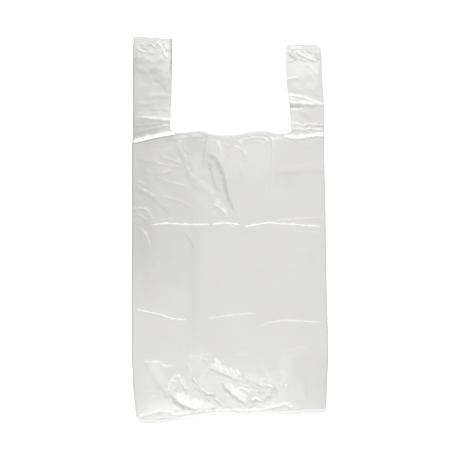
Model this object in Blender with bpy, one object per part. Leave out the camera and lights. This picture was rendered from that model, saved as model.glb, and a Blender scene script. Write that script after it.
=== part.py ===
"""A white plastic carrier bag of the vest kind, empty and lying flat on its back.

The bag is one tube of blown film. The tube is laid flat with a gusset folded into each side,
welded across the bottom and across the tops of both handles, and cut out between the handles,
which opens the mouth. Each handle is a loop: a front strap and a back strap, each two plies
thick, that join only at the weld.

Seen from above, the plies lie in the order back, rear gusset, front gusset, front. The mouth
and the handles point to +Y, the front panel looks up, and the floor is at Z = 0.
"""

import math

import bmesh
import bpy
import numpy as np
from mathutils import Matrix, Vector

# The bag as it is made, in metres
FILM = 0.00002
BODY_WIDTH = 0.300
BODY_LENGTH = 0.444
GUSSET_DEPTH = 0.090
HANDLE_LENGTH = 0.152
HANDLE_WIDTH = 0.060
SEAL_WIDTH = 0.007

# The air left in it, in metres
MIDDLE_LOFT = 0.0118
SIDE_LOFT = 0.0028
HANDLE_LOFT = 0.0108
FILL_RUN = 0.075
WELD_RUN = 0.036

# Where the gusset plies ride between the back (0) and the front (1)
OUTER_FOLD_SHARE = 0.10
INNER_FOLD_SHARE = 0.48
STRAP_SHARE = 0.07
STRAP_RUN = 0.050

# How far the back panel's lip stands past the front panel's in the mouth
BACK_LIP = 0.004

# Size of the facets
MIDDLE_PITCH = 0.0101
SIDE_PITCH = 0.0121
SEAL_ROWS = 1
LOWER_ROWS = 12
MIDDLE_ROWS = 9
UPPER_ROWS = 12
STRAP_ROWS = 5
LOOP_ROWS = 7
CROWDING = 0.55

BACK, REAR_GUSSET, FRONT_GUSSET, FRONT = range(4)
LEVELS = 8

# Outlines of the bag as it lies. Each entry is a share of the way across (-1 left fold to
# 1 right fold) or up (0 bottom to 1 handle top), then how far the edge strays there in metres.
BOTTOM_STRAY = (
    (-1.0, -0.0050), (-0.96, -0.0086), (-0.80, -0.0086), (-0.20, 0.0008),
    (0.16, 0.0050), (0.72, 0.0091), (1.0, 0.0070),
)
MOUTH_STRAY = (
    (-1.0, -0.0110), (-0.64, 0.0), (-0.48, 0.0020), (-0.30, 0.0033), (-0.20, -0.0030),
    (0.10, -0.0037), (0.30, 0.0072), (0.44, -0.0020), (0.62, -0.0010), (1.0, 0.0025),
)
LOWER_CREASE_STRAY = (
    (-1.0, 0.0130), (-0.84, 0.0080), (-0.56, -0.0030), (-0.23, 0.0), (0.03, 0.0055),
    (0.22, 0.0040), (0.40, -0.0070), (0.60, -0.0045), (1.0, -0.0065),
)
UPPER_CREASE_STRAY = ((-1.0, 0.0), (0.20, 0.0004), (1.0, -0.0024))
LEFT_SIDE_STRAY = ((0.0, 0.0036), (0.03, 0.0028), (0.19, -0.0024), (1.0, -0.0021))
RIGHT_SIDE_STRAY = (
    (0.0, -0.0012), (0.03, 0.0), (0.19, 0.0025), (0.47, 0.0), (0.75, -0.0021),
    (0.83, -0.0033), (0.94, -0.0056), (0.97, -0.0066), (1.0, -0.0105),
)
LEFT_CUT_STRAY = ((0.60, 0.0), (0.745, 0.0010), (0.775, -0.0058), (0.88, -0.0036), (1.0, -0.0021))
RIGHT_CUT_STRAY = (
    (0.60, 0.0), (0.745, 0.0045), (0.775, 0.0066), (0.83, 0.0049), (0.87, 0.0019),
    (0.90, -0.0006), (0.965, -0.0017), (1.0, 0.0005),
)

LOWER_CREASE = 0.352
UPPER_CREASE = 0.681
CREASE_HEIGHT = 0.0011
CREASE_HALF_WIDTH = 0.006

# Wrinkles of the front panel: height and half width in metres, then the places it runs
# through as shares (across, up the body)
FRONT_WRINKLES = (
    (0.0020, 0.011, ((-0.56, 1.00), (-0.44, 0.872), (-0.33, 0.819), (-0.12, 0.754), (-0.02, 0.70))),
    (-0.0017, 0.010, ((-0.26, 0.93), (-0.12, 0.886), (-0.06, 0.824), (0.0, 0.757), (0.04, 0.70))),
    (0.0010, 0.008, ((-0.26, 1.00), (-0.29, 0.895))),
    (0.0009, 0.009, ((-0.95, 0.805), (-0.64, 0.711))),
    (-0.0008, 0.008, ((-0.90, 0.76), (-0.82, 0.69))),
    (0.0007, 0.008, ((0.76, 0.698), (0.98, 0.706))),
    (0.0022, 0.012, ((-0.84, 0.168), (-0.62, 0.092), (-0.42, 0.048), (-0.14, 0.042))),
    (0.0020, 0.011, ((-0.22, 0.215), (0.09, 0.158), (0.44, 0.106))),
    (0.0014, 0.010, ((-0.10, 0.125), (0.16, 0.062))),
    (0.0009, 0.009, ((0.23, 0.064), (0.43, 0.095))),
    (0.0009, 0.009, ((0.41, 0.036), (0.62, 0.056))),
    (0.0007, 0.008, ((-0.92, 0.196), (-0.68, 0.184))),
)
# Wrinkles of the back panel, which lift it off the floor
BACK_WRINKLES = (
    (0.0010, 0.020, ((-0.80, 0.90), (0.10, 0.60))),
    (0.0008, 0.018, ((0.90, 0.62), (0.30, 0.30))),
    (0.0008, 0.016, ((-0.90, 0.36), (-0.10, 0.18))),
)


class Handle:
    """One handle: which side it is on, and how it was creased when it lay in the pack."""

    def __init__(self, side, shortfall, top_slant, crease, crease_slant, wrinkles):
        self.side = side
        self.shortfall = shortfall
        self.top_slant = top_slant
        self.crease = crease
        self.crease_slant = crease_slant
        self.wrinkles = wrinkles


# The handles' wrinkles: height and half width in metres, then places as shares
# (0 outer fold to 1 cut edge, 0 mouth to 1 top)
HANDLES = (
    Handle(
        side=-1, shortfall=0.0, top_slant=-0.0022, crease=0.17, crease_slant=-0.0055,
        wrinkles=(
            (0.0012, 0.006, ((0.0, 0.0), (1.0, 0.02))),
            (0.0008, 0.005, ((0.0, 0.19), (1.0, 0.17))),
            (0.0009, 0.007, ((0.58, 1.0), (0.90, 0.80))),
        ),
    ),
    Handle(
        side=1, shortfall=0.0110, top_slant=0.0010, crease=0.36, crease_slant=0.0140,
        wrinkles=(
            (0.0012, 0.006, ((0.0, 0.01), (1.0, 0.0))),
            (0.0034, 0.009, ((-0.1, 0.33), (1.1, 0.43))),
            (0.0012, 0.008, ((0.12, 0.80), (0.66, 0.88))),
        ),
    ),
)


def straight(points, at):
    """The value at a place along a list of (place, value), straight between the points."""
    return float(np.interp(at, [point[0] for point in points], [point[1] for point in points]))


def ease(share):
    """0 to 1 with no kink at either end, for a share that may overshoot."""
    share = min(1.0, max(0.0, share))
    return share * share * (3 - 2 * share)


def mix(low, high, share):
    return low + (high - low) * share


def swell(share):
    """How a pocket of film fills out with the distance from its weld."""
    return math.sin(math.pi / 2 * min(1.0, max(0.0, share)))


def wrinkle(at, height, half_width, route):
    """The lift that one wrinkle gives at a point, fading to its sides and past its ends."""
    nearest = min(
        segment_distance(at, Vector(start), Vector(end)) for start, end in zip(route, route[1:])
    )
    side = min(1.0, nearest / half_width)
    return height * (1 - side * side) ** 2


def segment_distance(at, start, end):
    span = end - start
    share = min(1.0, max(0.0, (at - start).dot(span) / span.length_squared))
    return (at - start - span * share).length


def crowded(count):
    """Shares from 0 to 1 that draw together at both ends, where the creases are."""
    even = [step / count for step in range(1, count + 1)]
    return [mix(share, (1 - math.cos(math.pi * share)) / 2, CROWDING) for share in even]


def stepped(start, end, pitch):
    """Places from start up to but not including end, no further apart than the pitch."""
    count = max(1, math.ceil((end - start) / pitch))
    return [mix(start, end, step / count) for step in range(count)]


class Lattice:
    """The flat bag cut into cells: columns across the bag, and rows up it."""

    def __init__(self):
        self.half = BODY_WIDTH / 2
        self.fold = self.half - GUSSET_DEPTH
        self.cut = self.half - HANDLE_WIDTH
        inner, outer = sorted((self.fold, self.cut))
        right = stepped(inner, outer, SIDE_PITCH) + stepped(outer, self.half, SIDE_PITCH) + [self.half]
        left = [-place for place in reversed(right)]
        self.columns = left[:-1] + stepped(-inner, inner, MIDDLE_PITCH) + right
        self.body_rows = self.rows_between((SEAL_ROWS, LOWER_ROWS, MIDDLE_ROWS, UPPER_ROWS))
        self.handle_rows = self.rows_between((STRAP_ROWS, LOOP_ROWS, SEAL_ROWS))[1:]
        self.mouth = len(self.body_rows) - 1
        self.top = self.mouth + len(self.handle_rows)

    @staticmethod
    def rows_between(counts):
        """Rows as guide numbers: 2.5 is half way from guide line 2 to guide line 3."""
        rows = [0.0]
        for guide, count in enumerate(counts):
            rows += [guide + share for share in crowded(count)]
        return rows

    def plies(self, column, row):
        """The plies that pass through a cell, from the floor up."""
        if not (0 <= column < len(self.columns) - 1 and 0 <= row < self.top):
            return ()
        across = abs(self.columns[column] + self.columns[column + 1]) / 2
        if row >= self.mouth and across < self.cut:
            return ()
        return (BACK, REAR_GUSSET, FRONT_GUSSET, FRONT) if across > self.fold else (BACK, FRONT)

    def welded(self, row):
        return row == 0 or row == self.top - 1

    def on_outer_fold(self, column):
        return column in (0, len(self.columns) - 1)

    def on_inner_fold(self, column):
        return math.isclose(abs(self.columns[column]), self.fold, abs_tol=FILM)


class Lie:
    """Where each point of the film lies."""

    def __init__(self, lattice):
        self.lattice = lattice
        self.length = BODY_LENGTH + HANDLE_LENGTH

    def guide(self, lines, row):
        below = min(int(row), len(lines) - 2)
        return mix(lines[below], lines[below + 1], row - below)

    def up(self, across, row):
        """How far up the bag a point is, from the nominal bottom edge."""
        share = across / self.lattice.half
        bottom = straight(BOTTOM_STRAY, share)
        mouth = BODY_LENGTH + straight(MOUTH_STRAY, share)
        if row <= self.lattice.mouth:
            lines = (
                bottom,
                bottom + SEAL_WIDTH,
                BODY_LENGTH * LOWER_CREASE + straight(LOWER_CREASE_STRAY, share),
                BODY_LENGTH * UPPER_CREASE + straight(UPPER_CREASE_STRAY, share),
                mouth,
            )
            return self.guide(lines, self.lattice.body_rows[row])
        handle = self.handle_at(across)
        inward = self.across_handle(across)
        top = self.length - handle.shortfall + handle.top_slant * inward
        crease = BODY_LENGTH + HANDLE_LENGTH * handle.crease + handle.crease_slant * (inward - 0.5)
        lines = (mouth, crease, top - SEAL_WIDTH, top)
        return self.guide(lines, self.lattice.handle_rows[row - self.lattice.mouth - 1])

    def handle_at(self, across):
        return HANDLES[0] if across < 0 else HANDLES[1]

    def across_handle(self, across):
        return (self.lattice.half - abs(across)) / HANDLE_WIDTH

    def sideways(self, across, up):
        """Where a point lies from left to right, once the sides have strayed."""
        half, fold, cut = self.lattice.half, self.lattice.fold, self.lattice.cut
        share = up / self.length
        marks = [
            (-half, straight(LEFT_SIDE_STRAY, share)),
            (-cut, straight(LEFT_CUT_STRAY, share)),
            (-fold, 0.0),
            (fold, 0.0),
            (cut, straight(RIGHT_CUT_STRAY, share)),
            (half, straight(RIGHT_SIDE_STRAY, share)),
        ]
        return across + straight(sorted(marks), across)

    def loft(self, across, row, up):
        """How far the front panel stands above the back panel."""
        share = abs(across) / self.lattice.half
        full = mix(MIDDLE_LOFT, SIDE_LOFT, share**2.4)
        if row <= self.lattice.mouth:
            above_weld = up - straight(BOTTOM_STRAY, across / self.lattice.half) - SEAL_WIDTH
            height = full * swell(above_weld / FILL_RUN)
            wrinkles = self.body_wrinkles(FRONT_WRINKLES, across, up) + self.crease_lift(across, up)
            height += wrinkles * ease(above_weld / FILL_RUN * 3) * min(1.0, full / SIDE_LOFT / 2)
            ridge = self.handle_ridge(across, up, full)
            return max(0.0, height + ridge)
        along = (up - BODY_LENGTH) / HANDLE_LENGTH
        below_weld = self.length - self.handle_at(across).shortfall - SEAL_WIDTH - up
        height = mix(full, HANDLE_LOFT, ease(along * 3)) * swell(below_weld / WELD_RUN)
        ridge = self.handle_ridge(across, up, full) * ease(below_weld / WELD_RUN * 3)
        return max(0.0, height + ridge)

    def body_wrinkles(self, wrinkles, across, up):
        at = Vector((across, up))
        scale = (self.lattice.half, BODY_LENGTH)
        return sum(wrinkle(at, height, width, placed(route, scale)) for height, width, route in wrinkles)

    def crease_lift(self, across, up):
        """The two creases of the pack, which run from fold to fold."""
        share = across / self.lattice.half
        lower = up - BODY_LENGTH * LOWER_CREASE - straight(LOWER_CREASE_STRAY, share)
        upper = up - BODY_LENGTH * UPPER_CREASE - straight(UPPER_CREASE_STRAY, share)
        sharp = [max(0.0, 1 - abs(away) / CREASE_HALF_WIDTH) for away in (lower, upper)]
        return CREASE_HEIGHT * sum(sharp)

    def handle_ridge(self, across, up, full):
        """The wrinkles of a handle, which run out a little below the mouth."""
        inward = self.across_handle(across)
        if inward > 1.6:
            return 0.0
        at = Vector((inward * HANDLE_WIDTH, up - BODY_LENGTH - straight(MOUTH_STRAY, across / self.lattice.half)))
        handle = self.handle_at(across)
        scale = (HANDLE_WIDTH, HANDLE_LENGTH)
        lift = sum(wrinkle(at, height, width, placed(route, scale)) for height, width, route in handle.wrinkles)
        return lift * ease((1.6 - inward) / 0.6)

    def rise(self, across, row, up):
        """How far the back panel stands off the floor."""
        if row > self.lattice.mouth:
            return 0.0
        share = up / BODY_LENGTH
        return self.body_wrinkles(BACK_WRINKLES, across, up) * ease(share * 6) * ease((1 - share) * 6)

    def ply_share(self, ply, across, up):
        """How high a ply rides between the back (0) and the front (1)."""
        if ply in (BACK, FRONT):
            return float(ply == FRONT)
        depth = (self.lattice.half - abs(across)) / GUSSET_DEPTH
        in_body = mix(OUTER_FOLD_SHARE, INNER_FOLD_SHARE, ease(depth))
        in_handle = ease((up - BODY_LENGTH + STRAP_RUN / 2) / STRAP_RUN)
        share = mix(in_body, STRAP_SHARE, in_handle)
        return share if ply == REAR_GUSSET else 1 - share

    def point(self, column, row, level):
        """The place of one point of one face of one ply. Even levels are a ply's lower face."""
        across = self.lattice.columns[column]
        ply = level // 2
        up = self.up(across, row)
        height = self.loft(across, row, up) * self.ply_share(ply, across, up)
        height += self.rise(across, row, up) + level * FILM
        side = math.copysign(1.0, across)
        x = self.sideways(across, up)
        if self.lattice.on_outer_fold(column) and level in (1, 2, 5, 6):
            x -= side * FILM
        if self.lattice.on_inner_fold(column) and level in (3, 4):
            x += side * FILM
        return Vector((x, up + self.lip(ply, across, up), height))

    def lip(self, ply, across, up):
        if ply != BACK or abs(across) >= self.lattice.fold:
            return 0.0
        hollow = 1 - (across / self.lattice.fold) ** 2
        return BACK_LIP * hollow * ease((up - BODY_LENGTH + STRAP_RUN) / STRAP_RUN)


def placed(route, scale):
    """A route given in shares, as real lengths."""
    return [(across * scale[0], up * scale[1]) for across, up in route]


class Skin:
    """Collects the faces of the film's surface as triangles."""

    def __init__(self, lattice, lie):
        self.lattice = lattice
        self.lie = lie
        self.mesh = bmesh.new()
        self.corners = {}

    def corner(self, column, row, level):
        key = (column, row, level)
        if key not in self.corners:
            self.corners[key] = self.mesh.verts.new(self.lie.point(*key))
        return self.corners[key]

    def triangle(self, *keys):
        self.mesh.faces.new([self.corner(*key) for key in keys])

    def ply_faces(self, column, row, levels):
        """One cell's faces. All plies of a cell split along one diagonal, so they can't cross."""
        crest = [self.lie.point(column + step, row, 7).z for step in (0, 1)]
        crest += [self.lie.point(column + step, row + 1, 7).z for step in (0, 1)]
        rising = abs(crest[0] - crest[3]) < abs(crest[1] - crest[2])
        for level in levels:
            low_left, low_right = (column, row, level), (column + 1, row, level)
            top_left, top_right = (column, row + 1, level), (column + 1, row + 1, level)
            if rising:
                self.triangle(low_left, low_right, top_right)
                self.triangle(low_left, top_right, top_left)
            else:
                self.triangle(low_left, low_right, top_left)
                self.triangle(low_right, top_right, top_left)

    def wall(self, start, start_levels, end, end_levels):
        """An upright face between two places, whose levels need not match."""
        left, right = list(start_levels), list(end_levels)
        while len(left) > 1 or len(right) > 1:
            climb_left = len(right) == 1 or (len(left) > 1 and left[1] <= right[1])
            if climb_left:
                self.triangle((*start, left[0]), (*start, left[1]), (*end, right[0]))
                left.pop(0)
            else:
                self.triangle((*start, left[0]), (*end, right[1]), (*end, right[0]))
                right.pop(0)


def cell_faces(skin, lattice, column, row):
    plies = lattice.plies(column, row)
    if not plies:
        return
    if lattice.welded(row):
        skin.ply_faces(column, row, (0, LEVELS - 1))
        return
    skin.ply_faces(column, row, [2 * ply + face for ply in plies for face in (0, 1)])


def upright_edge(skin, lattice, column, row):
    """The faces on the line between the cells to the left and the right."""
    left, right = lattice.plies(column - 1, row), lattice.plies(column, row)
    ends = sorted(set(left) ^ set(right))
    low, high = (column, row), (column, row + 1)
    if not ends or (lattice.welded(row) and left and right):
        return
    if lattice.welded(row):
        skin.wall(low, weld_levels(lattice, column, row, ends), high, weld_levels(lattice, column, row + 1, ends))
    elif lattice.on_outer_fold(column):
        for levels in ((4, 7), (5, 6), (0, 3), (1, 2)):
            skin.wall(low, levels, high, levels)
    elif ends == [REAR_GUSSET, FRONT_GUSSET]:
        for levels in ((2, 5), (3, 4)):
            skin.wall(low, levels, high, levels)
        if not (lattice.plies(column, row + 1) or lattice.plies(column - 1, row + 1)):
            skin.mesh.faces.new([skin.corner(*high, level) for level in (2, 3, 4, 5)])
    else:
        for ply in ends:
            skin.wall(low, (2 * ply, 2 * ply + 1), high, (2 * ply, 2 * ply + 1))


def weld_levels(lattice, column, row, plies):
    """The levels at which a weld's outer face meets the open plies beside it."""
    if row in (0, lattice.top):
        return (0, LEVELS - 1)
    if lattice.on_outer_fold(column):
        return (0, 3, 4, 7)
    return [2 * ply + face for ply in plies for face in (0, 1)]


def level_edge(skin, lattice, column, row):
    """The faces on the line between the cells below and above."""
    below, above = lattice.plies(column, row - 1), lattice.plies(column, row)
    left, right = (column, row), (column + 1, row)
    if not below and not above:
        return
    if not below or not above:
        if row in (0, lattice.top):
            skin.wall(left, (0, LEVELS - 1), right, (0, LEVELS - 1))
            return
        for ply in below or above:
            skin.wall(left, (2 * ply, 2 * ply + 1), right, (2 * ply, 2 * ply + 1))
        return
    if lattice.welded(row - 1) == lattice.welded(row):
        return
    for lower, upper in zip(below, below[1:]):
        spans = [[2 * lower + 1, 2 * upper], [2 * lower + 1, 2 * upper]]
        for span, end in zip(spans, (column, column + 1)):
            if (lower, upper) == (BACK, FRONT) and lattice.on_inner_fold(end):
                span[1:1] = (2, 5)
        skin.wall(left, spans[0], right, spans[1])


def film_mesh():
    """The closed surface of the whole bag, centred on the floor."""
    lattice = Lattice()
    skin = Skin(lattice, Lie(lattice))
    for row in range(lattice.top + 1):
        for column in range(len(lattice.columns)):
            cell_faces(skin, lattice, column, row)
            upright_edge(skin, lattice, column, row)
            level_edge(skin, lattice, column, row)
    mesh = skin.mesh
    bmesh.ops.recalc_face_normals(mesh, faces=mesh.faces)
    places = [vert.co for vert in mesh.verts]
    low = Vector([min(place[axis] for place in places) for axis in range(3)])
    high = Vector([max(place[axis] for place in places) for axis in range(3)])
    middle = (low + high) / 2
    bmesh.ops.transform(mesh, matrix=Matrix.Translation((-middle.x, -middle.y, -low.z)), verts=mesh.verts)
    return mesh


def white_film():
    """White polythene film: a soft sheen, neither chalky nor glassy."""
    material = bpy.data.materials.new("white_film")
    material.use_nodes = True
    shader = material.node_tree.nodes["Principled BSDF"]
    shader.inputs["Base Color"].default_value = (0.76, 0.755, 0.735, 1.0)
    shader.inputs["Roughness"].default_value = 0.38
    shader.inputs["Metallic"].default_value = 0.0
    return material


def clear_scene():
    for thing in list(bpy.data.objects):
        bpy.data.objects.remove(thing, do_unlink=True)


def main():
    clear_scene()
    film = film_mesh()
    mesh = bpy.data.meshes.new("carrier_bag")
    film.to_mesh(mesh)
    film.free()
    mesh.materials.append(white_film())
    mesh.shade_smooth()
    mesh.set_sharp_from_angle(angle=math.radians(50))
    bpy.context.scene.collection.objects.link(bpy.data.objects.new("carrier_bag", mesh))


main()
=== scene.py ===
"""Dresses the plastic carrier bag: one tube of thin white film, laid flat, gusseted and welded,
with the creases of the pack it came from, and the seal beads of its three welds.

Lengths in the wrinkle lists are millimetres from the middle of the bag. +Y points to the handles.
"""

import math
from dataclasses import dataclass

import bmesh
import bpy
import numpy as np
from bpy.props import FloatProperty, FloatVectorProperty, PointerProperty
from bpy.types import Operator, Panel, PropertyGroup
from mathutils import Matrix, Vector
from mathutils.geometry import delaunay_2d_cdt


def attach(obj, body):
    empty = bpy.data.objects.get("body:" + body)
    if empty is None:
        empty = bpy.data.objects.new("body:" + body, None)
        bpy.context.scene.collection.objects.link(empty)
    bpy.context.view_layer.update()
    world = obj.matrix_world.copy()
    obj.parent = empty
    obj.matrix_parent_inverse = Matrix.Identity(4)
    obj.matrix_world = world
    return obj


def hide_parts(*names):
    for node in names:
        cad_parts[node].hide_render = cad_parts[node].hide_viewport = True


bl_info = {
    "name": "Plastic carrier bag",
    "version": (1, 0, 0),
    "blender": (4, 5, 0),
    "location": "3D View > Sidebar > Carrier bag",
    "description": "Builds an empty white carrier bag that lies flat, and a plain stage for it",
    "category": "Object",
}

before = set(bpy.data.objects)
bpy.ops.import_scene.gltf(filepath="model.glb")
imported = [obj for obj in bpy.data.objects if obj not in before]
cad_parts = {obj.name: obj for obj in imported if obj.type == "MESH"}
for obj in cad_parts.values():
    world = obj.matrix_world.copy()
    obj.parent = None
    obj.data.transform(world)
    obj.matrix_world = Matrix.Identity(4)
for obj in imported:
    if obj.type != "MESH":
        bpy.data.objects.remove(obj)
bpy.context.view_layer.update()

MM = 0.001
NODE = "carrier_bag"
BODY = "root"

# The flat bag, in millimetres: what the CAD source calls its driving sizes
HALF_WIDTH = 150.0
GUSSET_LINE = 60.0
CUT_LINE = 90.0
LOW_EDGE = -293.7
BODY_LENGTH = 444.0
HANDLE_LENGTH = 152.0
MOUTH_LINE = LOW_EDGE + BODY_LENGTH
SEAL_WIDTH = 7.0

# How the plies share the height between the back (0) and the front (1)
OUTER_FOLD_SHARE = 0.10
INNER_FOLD_SHARE = 0.48
STRAP_SHARE = 0.07
STRAP_RUN = 50.0
FRONT_FOLD_DROP = 0.9
LIP_DROOP = 3.6
LIP_RUN = 75.0
# Painted light on the back panel behind the mouth, where the front lip shades it; it is a single sheet
# there too
SINGLE_SHEET_AND_PAINTED_LIGHT = 0.42
WELD_HEIGHT = 0.12
PLY_STEP = 0.05

# How the loft falls off across the body, the handles and the lip of the mouth
BODY_FULLNESS = 2.4
STRAP_EDGE_LOSS = 0.2
LEFT_STRAP_SHARE = 0.8
LIP_SIDE_RUN = 50.0

# What is left of the loft under a valley and at the front's folds
LEAST_GAP_SHARE = 0.25
FRONT_FOLD_SHARE = 0.9
LEAST_FOLD_SHARE = 0.6

# How far around a point of a gusset the front's valleys press it down
GUSSET_LOOKOUT = 5.0

# Radii of the rounded folds: the front's outer ones, the lower plies' and a gusset's inner one
FRONT_FOLD_RADIUS = 1.7
LOWER_FOLD_RADIUS = 1.0
INNER_FOLD_RADIUS = 1.5

# How the welded ends ripple and curl off the floor
WELD_RIPPLE = 0.45
RIPPLE_REACH = 30.0
TOP_CURL = 0.3
CURL_REACH = 22.0

# How a wrinkle strays from its drawn route, how uneven the film is, and where leaning stops
WANDER_SHARE = 0.28
WANDER_LIMIT = 5.0
WANDER_SIZE = 2.8
CREST_UNEVENNESS = 0.16
FILM_UNEVENNESS = 0.06
FILM_FACET = 17.0
FLECK_SIZE = 2.2
LEAN_MARGIN = 3.0

# How finely the mesh is spaced where the film is creased, crumpled or welded
FINE_FRONT_PITCH = 1.35
FINE_PITCH = 2.4
LANE_PITCH = 1.3
FINE_CRUMPLE = 5.6
WELD_SURROUND = 4.0
FOLD_ROWS = (0.35, 0.9, 1.8)
CROWDED = 0.75
EDGE_CLEARANCE = 0.3
NET_HALF_WIDTH = 156.0
NET_LOW = -308.0
NET_LENGTH = 620.0
NET_JITTER = 0.16

# Where the seal beads run
BEAD_PITCH = 2.0
BEAD_END_GAP = 1.2
BEAD_LIFT = 0.12

# How coarse the plies below the front are, as multiples of the film's facet
BACK_FACETS = 2.0
GUSSET_FACETS = 3.0

# How the plies are joined and their UV map laid out, in metres, and where shading breaks, in degrees
MERGE_DISTANCE = 2e-6
SHARP_TURN = 70
UV_STEP = 0.4
UV_ORIGIN = (0.2, 0.35)

# How much paler a weld looks, and how wide its fringe is. The bottom weld's ends are greyer
TOP_WELD_GLOW = 0.25
RIGHT_END_GREY = 0.4
LEFT_END_GREY = 0.35
WELD_FRINGE = 2.0

# Painted shade along the folded sides and the handles' top edges: left as (low, high, width), the others as
# (grey, width)
LEFT_FOLD_SHADE = (0.75, 1.0, 3.0)
RIGHT_FOLD_SHADE = (0.6, 2.4)
TOP_FOLD_SHADE = (0.8, 2.2)

# How the materials answer their masks. A bump is (strength, distance in metres)
WHITE = (1.0, 1.0, 1.0, 1.0)
BLACK = (0.0, 0.0, 0.0, 1.0)
FILM_MOTTLE = (0.96, 1.04)
BEAD_MOTTLE = (0.9, 1.1)
FUSED_SHADE = 0.97
# Caps on the painted light, painted shade and tone that the masks carry
MOST_PAINTED_LIGHT_AND_TONE = 0.5
PAINTED_SHADE_AND_TONE_GREY = 0.5
CREASE_PAINTED_SHADE_GREY = 0.5
FOLD_SHADE_GREY = 0.3
ROUGHNESS_SPREAD = 0.03
BEAD_ROUGHNESS = (0.29, 0.35)
FILM_IOR = 1.53
FILM_BUMP = (0.10, 0.0006)
BEAD_BUMP = (0.2, 0.0002)

# The lamps, as (size, place), and the floor's half side, in metres, and the sensor in millimetres
KEY_LAMP = ((1.7, 1.1), (0.0, 1.55, 2.5))
LOW_LAMP = ((1.7, 0.8), (0.0, -1.5, 2.5))
FLOOR_HALF = 4.0
SENSOR_WIDTH = 36.0

MOST_TRIANGLES = 200000

# Outlines of the bag as it lies, as (x, y)
BOTTOM_EDGE = (
    (-147.8, -290.5), (-147.0, -295.0), (-143.9, -299.2), (-136.4, -303.6), (-122.5, -304.1),
    (-104.9, -302.9), (-85.9, -301.3), (-70.9, -298.3), (-46.0, -293.4), (-26.4, -292.4), (-15.9, -291.6),
    (3.0, -291.5), (28.1, -293.2), (39.9, -291.4), (52.9, -290.5), (70.1, -289.9), (92.2, -290.4),
    (109.3, -288.9), (119.7, -287.4), (145.0, -287.2), (149.0, -285.3),
)
RIGHT_SIDE = (
    (149.0, -285.3), (150.8, -281.4), (151.6, -265.0), (151.9, -252.0), (152.2, -239.0), (153.0, -226.0),
    (153.8, -208.0), (154.0, -189.0), (153.7, -160.0), (152.7, -135.0), (152.0, -107.0), (151.3, -70.0),
    (150.4, -13.0), (149.6, 37.0), (148.7, 80.0), (147.8, 115.0), (148.3, 142.0), (147.6, 158.0),
    (147.0, 200.0), (145.2, 226.0), (144.0, 249.0), (143.7, 283.0),
)
RIGHT_TOP = (
    (143.7, 283.0), (141.6, 286.4), (139.0, 289.2), (135.6, 290.8), (113.0, 290.9), (90.5, 291.3),
)
RIGHT_CUT = (
    (90.5, 291.3), (88.4, 286.0), (87.4, 279.0), (87.4, 264.0), (88.5, 250.0), (89.2, 234.0),
    (90.7, 221.0), (91.8, 210.0), (93.5, 202.0), (93.6, 192.0), (95.0, 179.0), (96.6, 167.0),
    (97.0, 153.3),
)
MOUTH_EDGE = (
    (97.0, 153.3), (93.4, 150.6), (82.0, 149.4), (72.0, 149.2), (64.0, 149.6), (58.0, 150.4),
    (51.0, 149.6), (42.0, 148.8), (32.0, 147.6), (22.0, 146.0), (12.0, 144.0), (3.0, 143.0),
    (-10.0, 142.8), (-21.0, 143.0), (-27.0, 144.6), (-33.0, 149.4), (-38.4, 153.6), (-47.3, 155.0),
    (-57.0, 154.0), (-66.0, 152.6), (-76.0, 152.4), (-85.0, 151.8), (-90.0, 153.6), (-95.7, 158.8),
)
LEFT_CUT = (
    (-95.7, 158.8), (-94.2, 164.0), (-93.8, 175.0), (-93.0, 193.0), (-92.0, 212.0), (-91.4, 238.0),
    (-90.4, 264.0), (-90.4, 300.7),
)
LEFT_TOP = (
    (-90.4, 300.7), (-99.9, 300.5), (-125.0, 302.2), (-138.0, 303.3), (-151.4, 303.9),
)
LEFT_SIDE = (
    (-151.4, 303.9), (-152.3, 280.0), (-152.5, 235.0), (-152.2, 200.0), (-152.3, 149.0), (-153.6, 137.0),
    (-154.1, 122.0), (-154.2, 97.0), (-154.0, 60.0), (-153.6, 15.0), (-154.0, -20.0), (-154.4, -100.0),
    (-154.1, -150.0), (-154.0, -200.0), (-152.9, -217.0), (-152.3, -240.0), (-151.3, -257.0),
    (-149.6, -270.0), (-147.8, -290.5),
)
BACK_MOUTH_EDGE = (
    (97.0, 153.3), (88.0, 151.0), (76.0, 150.4), (67.0, 152.0), (58.0, 155.4), (50.0, 158.2),
    (42.4, 158.8), (35.0, 156.6), (26.0, 154.0), (16.0, 151.8), (4.0, 150.0), (-10.0, 149.6),
    (-22.0, 150.0), (-34.0, 151.6), (-48.0, 153.0), (-72.0, 151.0), (-88.0, 152.0), (-95.7, 158.8),
)


@dataclass
class Wrinkle:
    """One fold, ridge or valley of the film, in millimetres.

    The route's left is the side to the left of someone who walks along it. A wrinkle with no
    softness has flat sides and a sharp crest. It narrows to nothing over the lengths in fade.
    Lean rolls its crest over to the right. The whitening and painted highlight is how far the film on its
    left is paler:
    partly stretched film whitened along a crease, partly a painted highlight where that side is lit. Shade
    is
    painted shade: how much greyer the film on its right is, where that side turns from the light.
    """

    height: float
    left: float
    right: float
    route: tuple
    soft: float = 0.4
    fade: tuple = (10.0, 10.0)
    lean: float = 0.0
    whitening_and_painted_highlight: float = 0.0
    shade: float = 0.0


@dataclass
class Crumple:
    """A patch of small flat facets on both sides of a route, in millimetres."""

    height: float
    size: float
    reach: float
    route: tuple


@dataclass
class Cloud:
    """A broad patch where the film is whiter, above 0, or greyer, below 0. Most are painted light and
    painted shade; one is the gusset's fold seen through the film.
    """

    strength: float
    centre: tuple
    reach: tuple


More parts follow.
